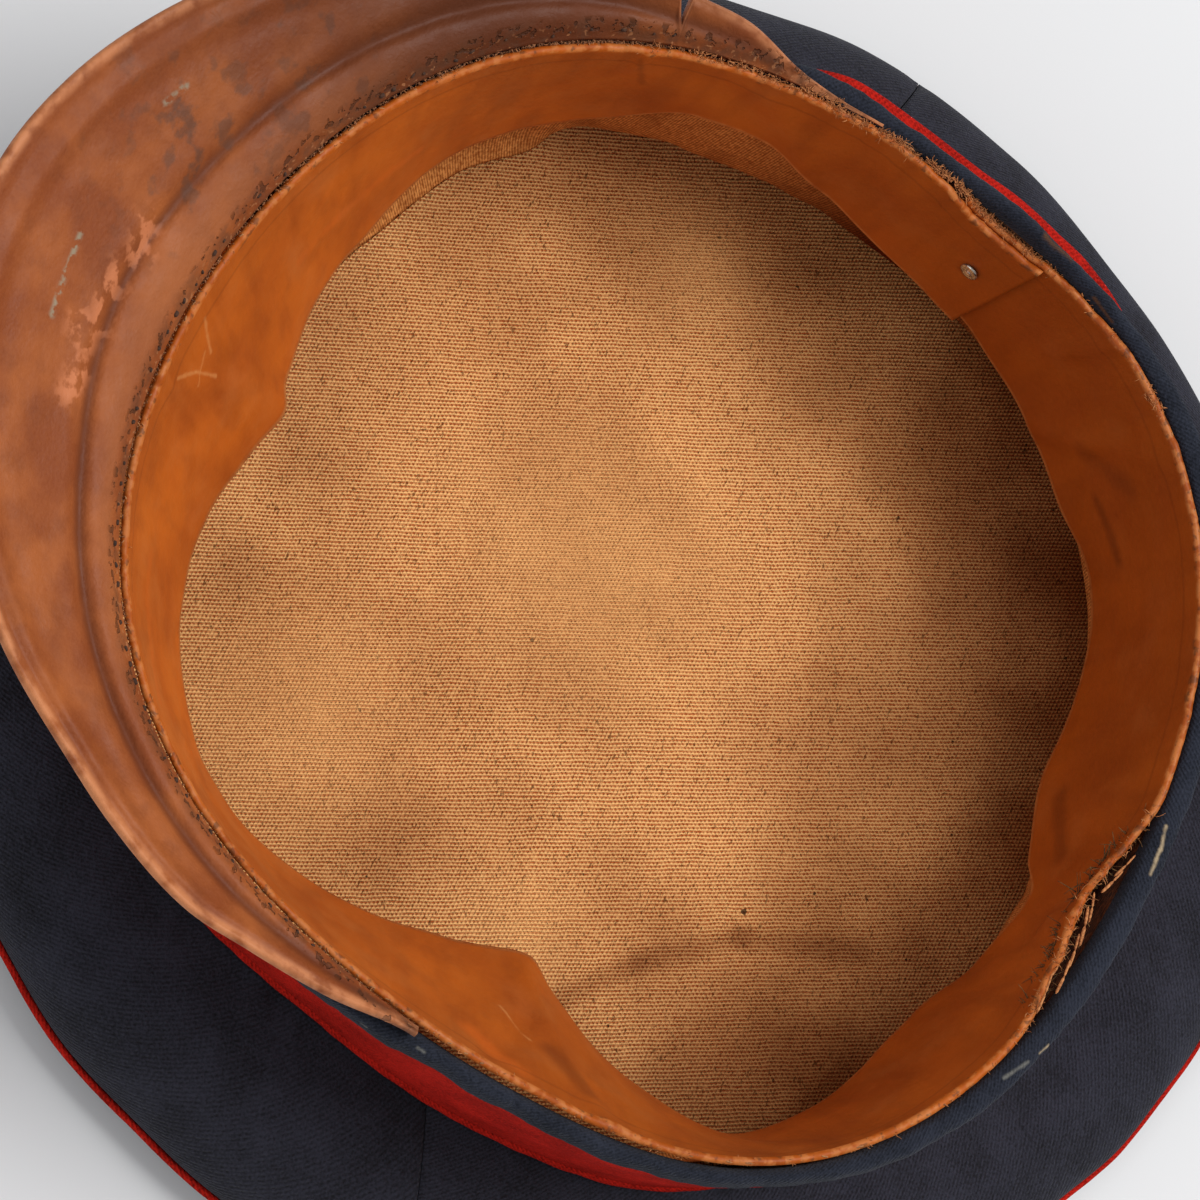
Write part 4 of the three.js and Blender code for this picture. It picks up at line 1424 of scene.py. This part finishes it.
def make_fray(name, rows, thickness, look, seed):
    chance = random.Random(seed)
    tubes = []
    for row in rows:
        for _ in range(row["tufts"]):
            centre = chance.uniform(row["first"], row["last"])
            lean = chance.uniform(-1, 1)
            size = chance.uniform(0.5, 1.2)
            for _ in range(row["fibres"]):
                angle = centre + chance.gauss(0, 0.55)
                way = heading(angle)
                along = Vector((-way.y, way.x, 0))
                loose = around(SWEATBAND_SEAM, angle, "inward")
                top = sweatband_rows(angle)[0]
                out = row["out"] - loose + chance.gauss(0, 0.35)
                start = rim_point(angle, out, top + row["down"] + chance.gauss(0, 0.2))
                aim = along * row["along"] * (lean + chance.gauss(0, 0.7)) + way * chance.gauss(0, 0.6)
                aim += Vector((0, 0, row["up"] + chance.gauss(0, 0.35)))
                curl = Vector([chance.gauss(0, 0.35) for _ in range(3)])
                length = row["length"] * size * chance.uniform(0.4, 1.1)
                radius = thickness * chance.uniform(0.6, 1.2)
                tubes.append(fibre(start, aim.normalized(), length, curl, radius))
    make_tubes(name, tubes, look, "sweatband_leather")


make_crown_top()
make_crown_piping()
make_crown_side("crown_side_front_cloth", CROWN_SEAMS["left"], CROWN_SEAMS["right"], "crown_side_front")
make_crown_side("crown_side_back_cloth", CROWN_SEAMS["right"], 360 + CROWN_SEAMS["left"], "crown_side_back")
make_band()
make_band_piping()
make_stiffener()
strip = make_rim_strip()
visor = make_visor()
sweatband = make_sweatband()
make_rivet(rivet_finish())
make_lining_side(smooth_lining_finish())
lining = make_lining_top()
pale_thread = thread_finish("pale_thread", rgb(126, 76, 40), rgb(188, 128, 78))
torn_leather = thread_finish("torn_leather", rgb(140, 78, 38), rgb(208, 138, 82))
dark_thread = thread_finish("dark_thread", rgb(46, 28, 18), rgb(78, 48, 30))
crumbled_leather = thread_finish("crumbled_leather", rgb(84, 50, 30), rgb(178, 116, 72))
torn_board = thread_finish("torn_board", rgb(58, 38, 18), rgb(134, 94, 48))
make_threads("rim_stitches", rim_threads(), pale_thread, "sweatband_leather")
make_threads("gap_splinters", splinters(), torn_leather, "sweatband_leather")
make_threads("visor_stitch_holes", visor_stitch_holes(), dark_thread, "visor_leather")
make_fray("rim_fray", FRAY, 0.11, torn_leather, 3)
make_fray("seam_crust", SEAM_CRUST, 0.17, crumbled_leather, 8)
make_fray("gap_fray", GAP_FRAY, 0.16, torn_board, 4)


def lines_on(piece, rows):
    """The rows with each line's two ends on a piece, found from the picture's pixels."""
    for row in rows:
        row["start"] = point_under(piece, row["x"], row["y"])
        row["end"] = point_under(piece, row["to_x"], row["to_y"])
    return rows


# Rubbed and stained places on the rim strip, by the picture's pixels
PALE = rgb(178, 156, 124)
GREY = rgb(112, 110, 104)
BROWN = rgb(92, 62, 42)
RUBBED = table(
    "x y to_x to_y reach tint",
    (1166, 826, 1161, 850, 0.9, PALE),
    (1160, 850, 1151, 874, 0.9, PALE),
    (1048, 1046, 1040, 1053, 0.8, PALE),
    (1028, 1062, 1004, 1078, 0.9, GREY),
    (362, 1024, 366, 1027, 1.0, GREY),
    (418, 1048, 424, 1052, 0.9, GREY),
    (905, 142, 916, 150, 0.9, GREY),
    (1046, 236, 1070, 258, 1.6, BROWN),
    (1094, 298, 1112, 322, 0.9, BROWN),
)
rubbed = lines_on(strip, RUBBED)
strip.data.materials.append(cloth_finish("navy_strip", rgb(24, 26, 32), rgb(48, 51, 62), 0.06, rubbed))

# Marks on the visor's inner face, by the picture's pixels
VISOR_MOULDS = ((200, 130), (330, 60))
VISOR_SCUFFS = table(
    "x y to_x to_y",
    (146, 230, 136, 250),
    (114, 276, 98, 325),
    (80, 322, 90, 340),
    (82, 370, 72, 386),
)
VISOR_SCRATCHES = table(
    "x y to_x to_y",
    (80, 234, 52, 314),
    (186, 86, 166, 102),
)
moulds = [point_under(visor, x, y) for x, y in VISOR_MOULDS]
visor_look = visor_finish(moulds, lines_on(visor, VISOR_SCUFFS), lines_on(visor, VISOR_SCRATCHES))
visor.data.materials.append(visor_look)
visor.data.materials.append(lacquer_finish())

# Scrapes, stains, painted light on the bottom fold and the left side, and painted shadow in the folds of the
# right free edge, on the sweatband, by the picture's pixels
SCRAPE = rgb(206, 136, 76)
STAIN_AND_SHADOW = rgb(96, 40, 12)
PAINTED_LIGHT = rgb(208, 96, 26)
SCRAPES = table(
    "x y to_x to_y reach strength tint",
    (205, 318, 211, 352, 0.9, 0.5, SCRAPE),
    (178, 378, 196, 372, 0.8, 0.5, SCRAPE),
    (196, 372, 216, 376, 0.8, 0.5, SCRAPE),
    (205, 352, 198, 386, 0.7, 0.4, SCRAPE),
    (500, 1006, 530, 1040, 0.8, 0.5, SCRAPE),
    (470, 1030, 520, 1070, 5.0, 0.5, PAINTED_LIGHT),
    (552, 1050, 590, 1092, 6.0, 0.45, STAIN_AND_SHADOW),
    # The two dark marks at the right free edge paint the shadows of its folds; the other dark marks are
    # stains
    (1085, 455, 1130, 490, 5.0, 0.4, STAIN_AND_SHADOW),
    (1096, 500, 1118, 560, 3.0, 0.5, STAIN_AND_SHADOW),
    (1060, 800, 1062, 850, 5.0, 0.45, STAIN_AND_SHADOW),
    (640, 60, 642, 84, 1.6, 0.35, STAIN_AND_SHADOW),
    (300, 260, 420, 150, 3.0, 0.3, PAINTED_LIGHT),
    (150, 560, 160, 700, 3.5, 0.3, PAINTED_LIGHT),
)
rivet_foot = rivet_place()
half_stain = Vector((0, 0, 1))
rivet_stain = {
    "start": rivet_foot - half_stain,
    "end": rivet_foot + half_stain,
    "reach": 3.2,
    "strength": 0.85,
    "tint": STAIN_AND_SHADOW,
}
marks = lines_on(sweatband, SCRAPES) + [rivet_stain]
sweatband.data.materials.append(sweatband_finish(marks))

# Painted light and shade on the lining, by the picture's pixels: light pools, and dark spots where shade
# falls
LINING_LIGHT_AND_SHADE = table(
    "x y reach strength dark",
    (590, 560, 46, 0.6, False),
    (310, 710, 36, 0.5, False),
    (700, 260, 24, 0.4, False),
    (520, 930, 20, 0.3, False),
    (330, 320, 34, 0.4, True),
    (300, 440, 22, 0.3, True),
    (380, 860, 24, 0.35, True),
    (430, 1010, 20, 0.4, True),
    (230, 560, 18, 0.3, True),
    (660, 940, 18, 0.3, True),
    (720, 1070, 34, 0.55, True),
    (1030, 560, 34, 0.6, True),
    (930, 620, 26, 0.35, True),
    (790, 740, 30, 0.4, True),
)
for light_and_shade_spot in LINING_LIGHT_AND_SHADE:
    light_and_shade_spot["point"] = point_under(lining, light_and_shade_spot["x"], light_and_shade_spot["y"])
lit_middle = point_under(lining, 450, 590)
stain = [point_under(lining, x, y) for x, y in ((560, 1000), (640, 962), (740, 938), (860, 950))]
lining.data.materials.append(ribbed_finish(LINING_LIGHT_AND_SHADE, stain, lit_middle))


# Floor, lights and camera
def make_floor():
    mesh = bpy.data.meshes.new("floor")
    half = 4
    corners = [(-half, -half, 0), (half, -half, 0), (half, half, 0), (-half, half, 0)]
    mesh.from_pydata(corners, [], [(0, 1, 2, 3)])
    floor = bpy.data.objects.new("floor", mesh)
    bpy.context.scene.collection.objects.link(floor)
    look = Finish("floor_paint")
    tone = look.noise(400, detail=2)
    mesh.materials.append(look.finish(look.mix(tone, rgb(223, 223, 223), rgb(228, 228, 228)), 0.9, []))


def make_light(name, angle, elevation, distance, size, power):
    data = bpy.data.lights.new(name, "AREA")
    data.shape = "DISK"
    data.size = size
    data.energy = power
    light = bpy.data.objects.new(name, data)
    rise = math.radians(elevation)
    way = heading(angle) * math.cos(rise) + Vector((0, 0, math.sin(rise)))
    light.location = way * distance
    light.rotation_mode = "QUATERNION"
    light.rotation_quaternion = way.to_track_quat("Z", "Y")
    bpy.context.scene.collection.objects.link(light)


def make_camera():
    data = bpy.data.cameras.new("camera")
    data.lens = LENS
    data.sensor_width = SENSOR
    data.clip_start = 0.01
    data.clip_end = 20
    camera = bpy.data.objects.new("camera", data)
    axes = Matrix((CAMERA_RIGHT, CAMERA_UP, -CAMERA_AHEAD)).transposed()
    camera.matrix_world = Matrix.Translation(CAMERA_PLACE * MM) @ axes.to_4x4()
    bpy.context.scene.collection.objects.link(camera)
    bpy.context.scene.camera = camera


make_floor()
LIGHTS = table(
    "name angle elevation distance size power",
    ("key", -150, 57, 1.6, 1.1, 21),
    ("fill", 40, 38, 2.0, 1.3, 7.5),
)
for light in LIGHTS:
    make_light(**light)
make_camera()
world = bpy.data.worlds.new("studio")
world.use_nodes = True
world.node_tree.nodes["Background"].inputs["Color"].default_value = (0.93, 0.96, 1, 1)
world.node_tree.nodes["Background"].inputs["Strength"].default_value = 0.4
bpy.context.scene.world = world
bpy.context.scene.view_settings.view_transform = "Standard"
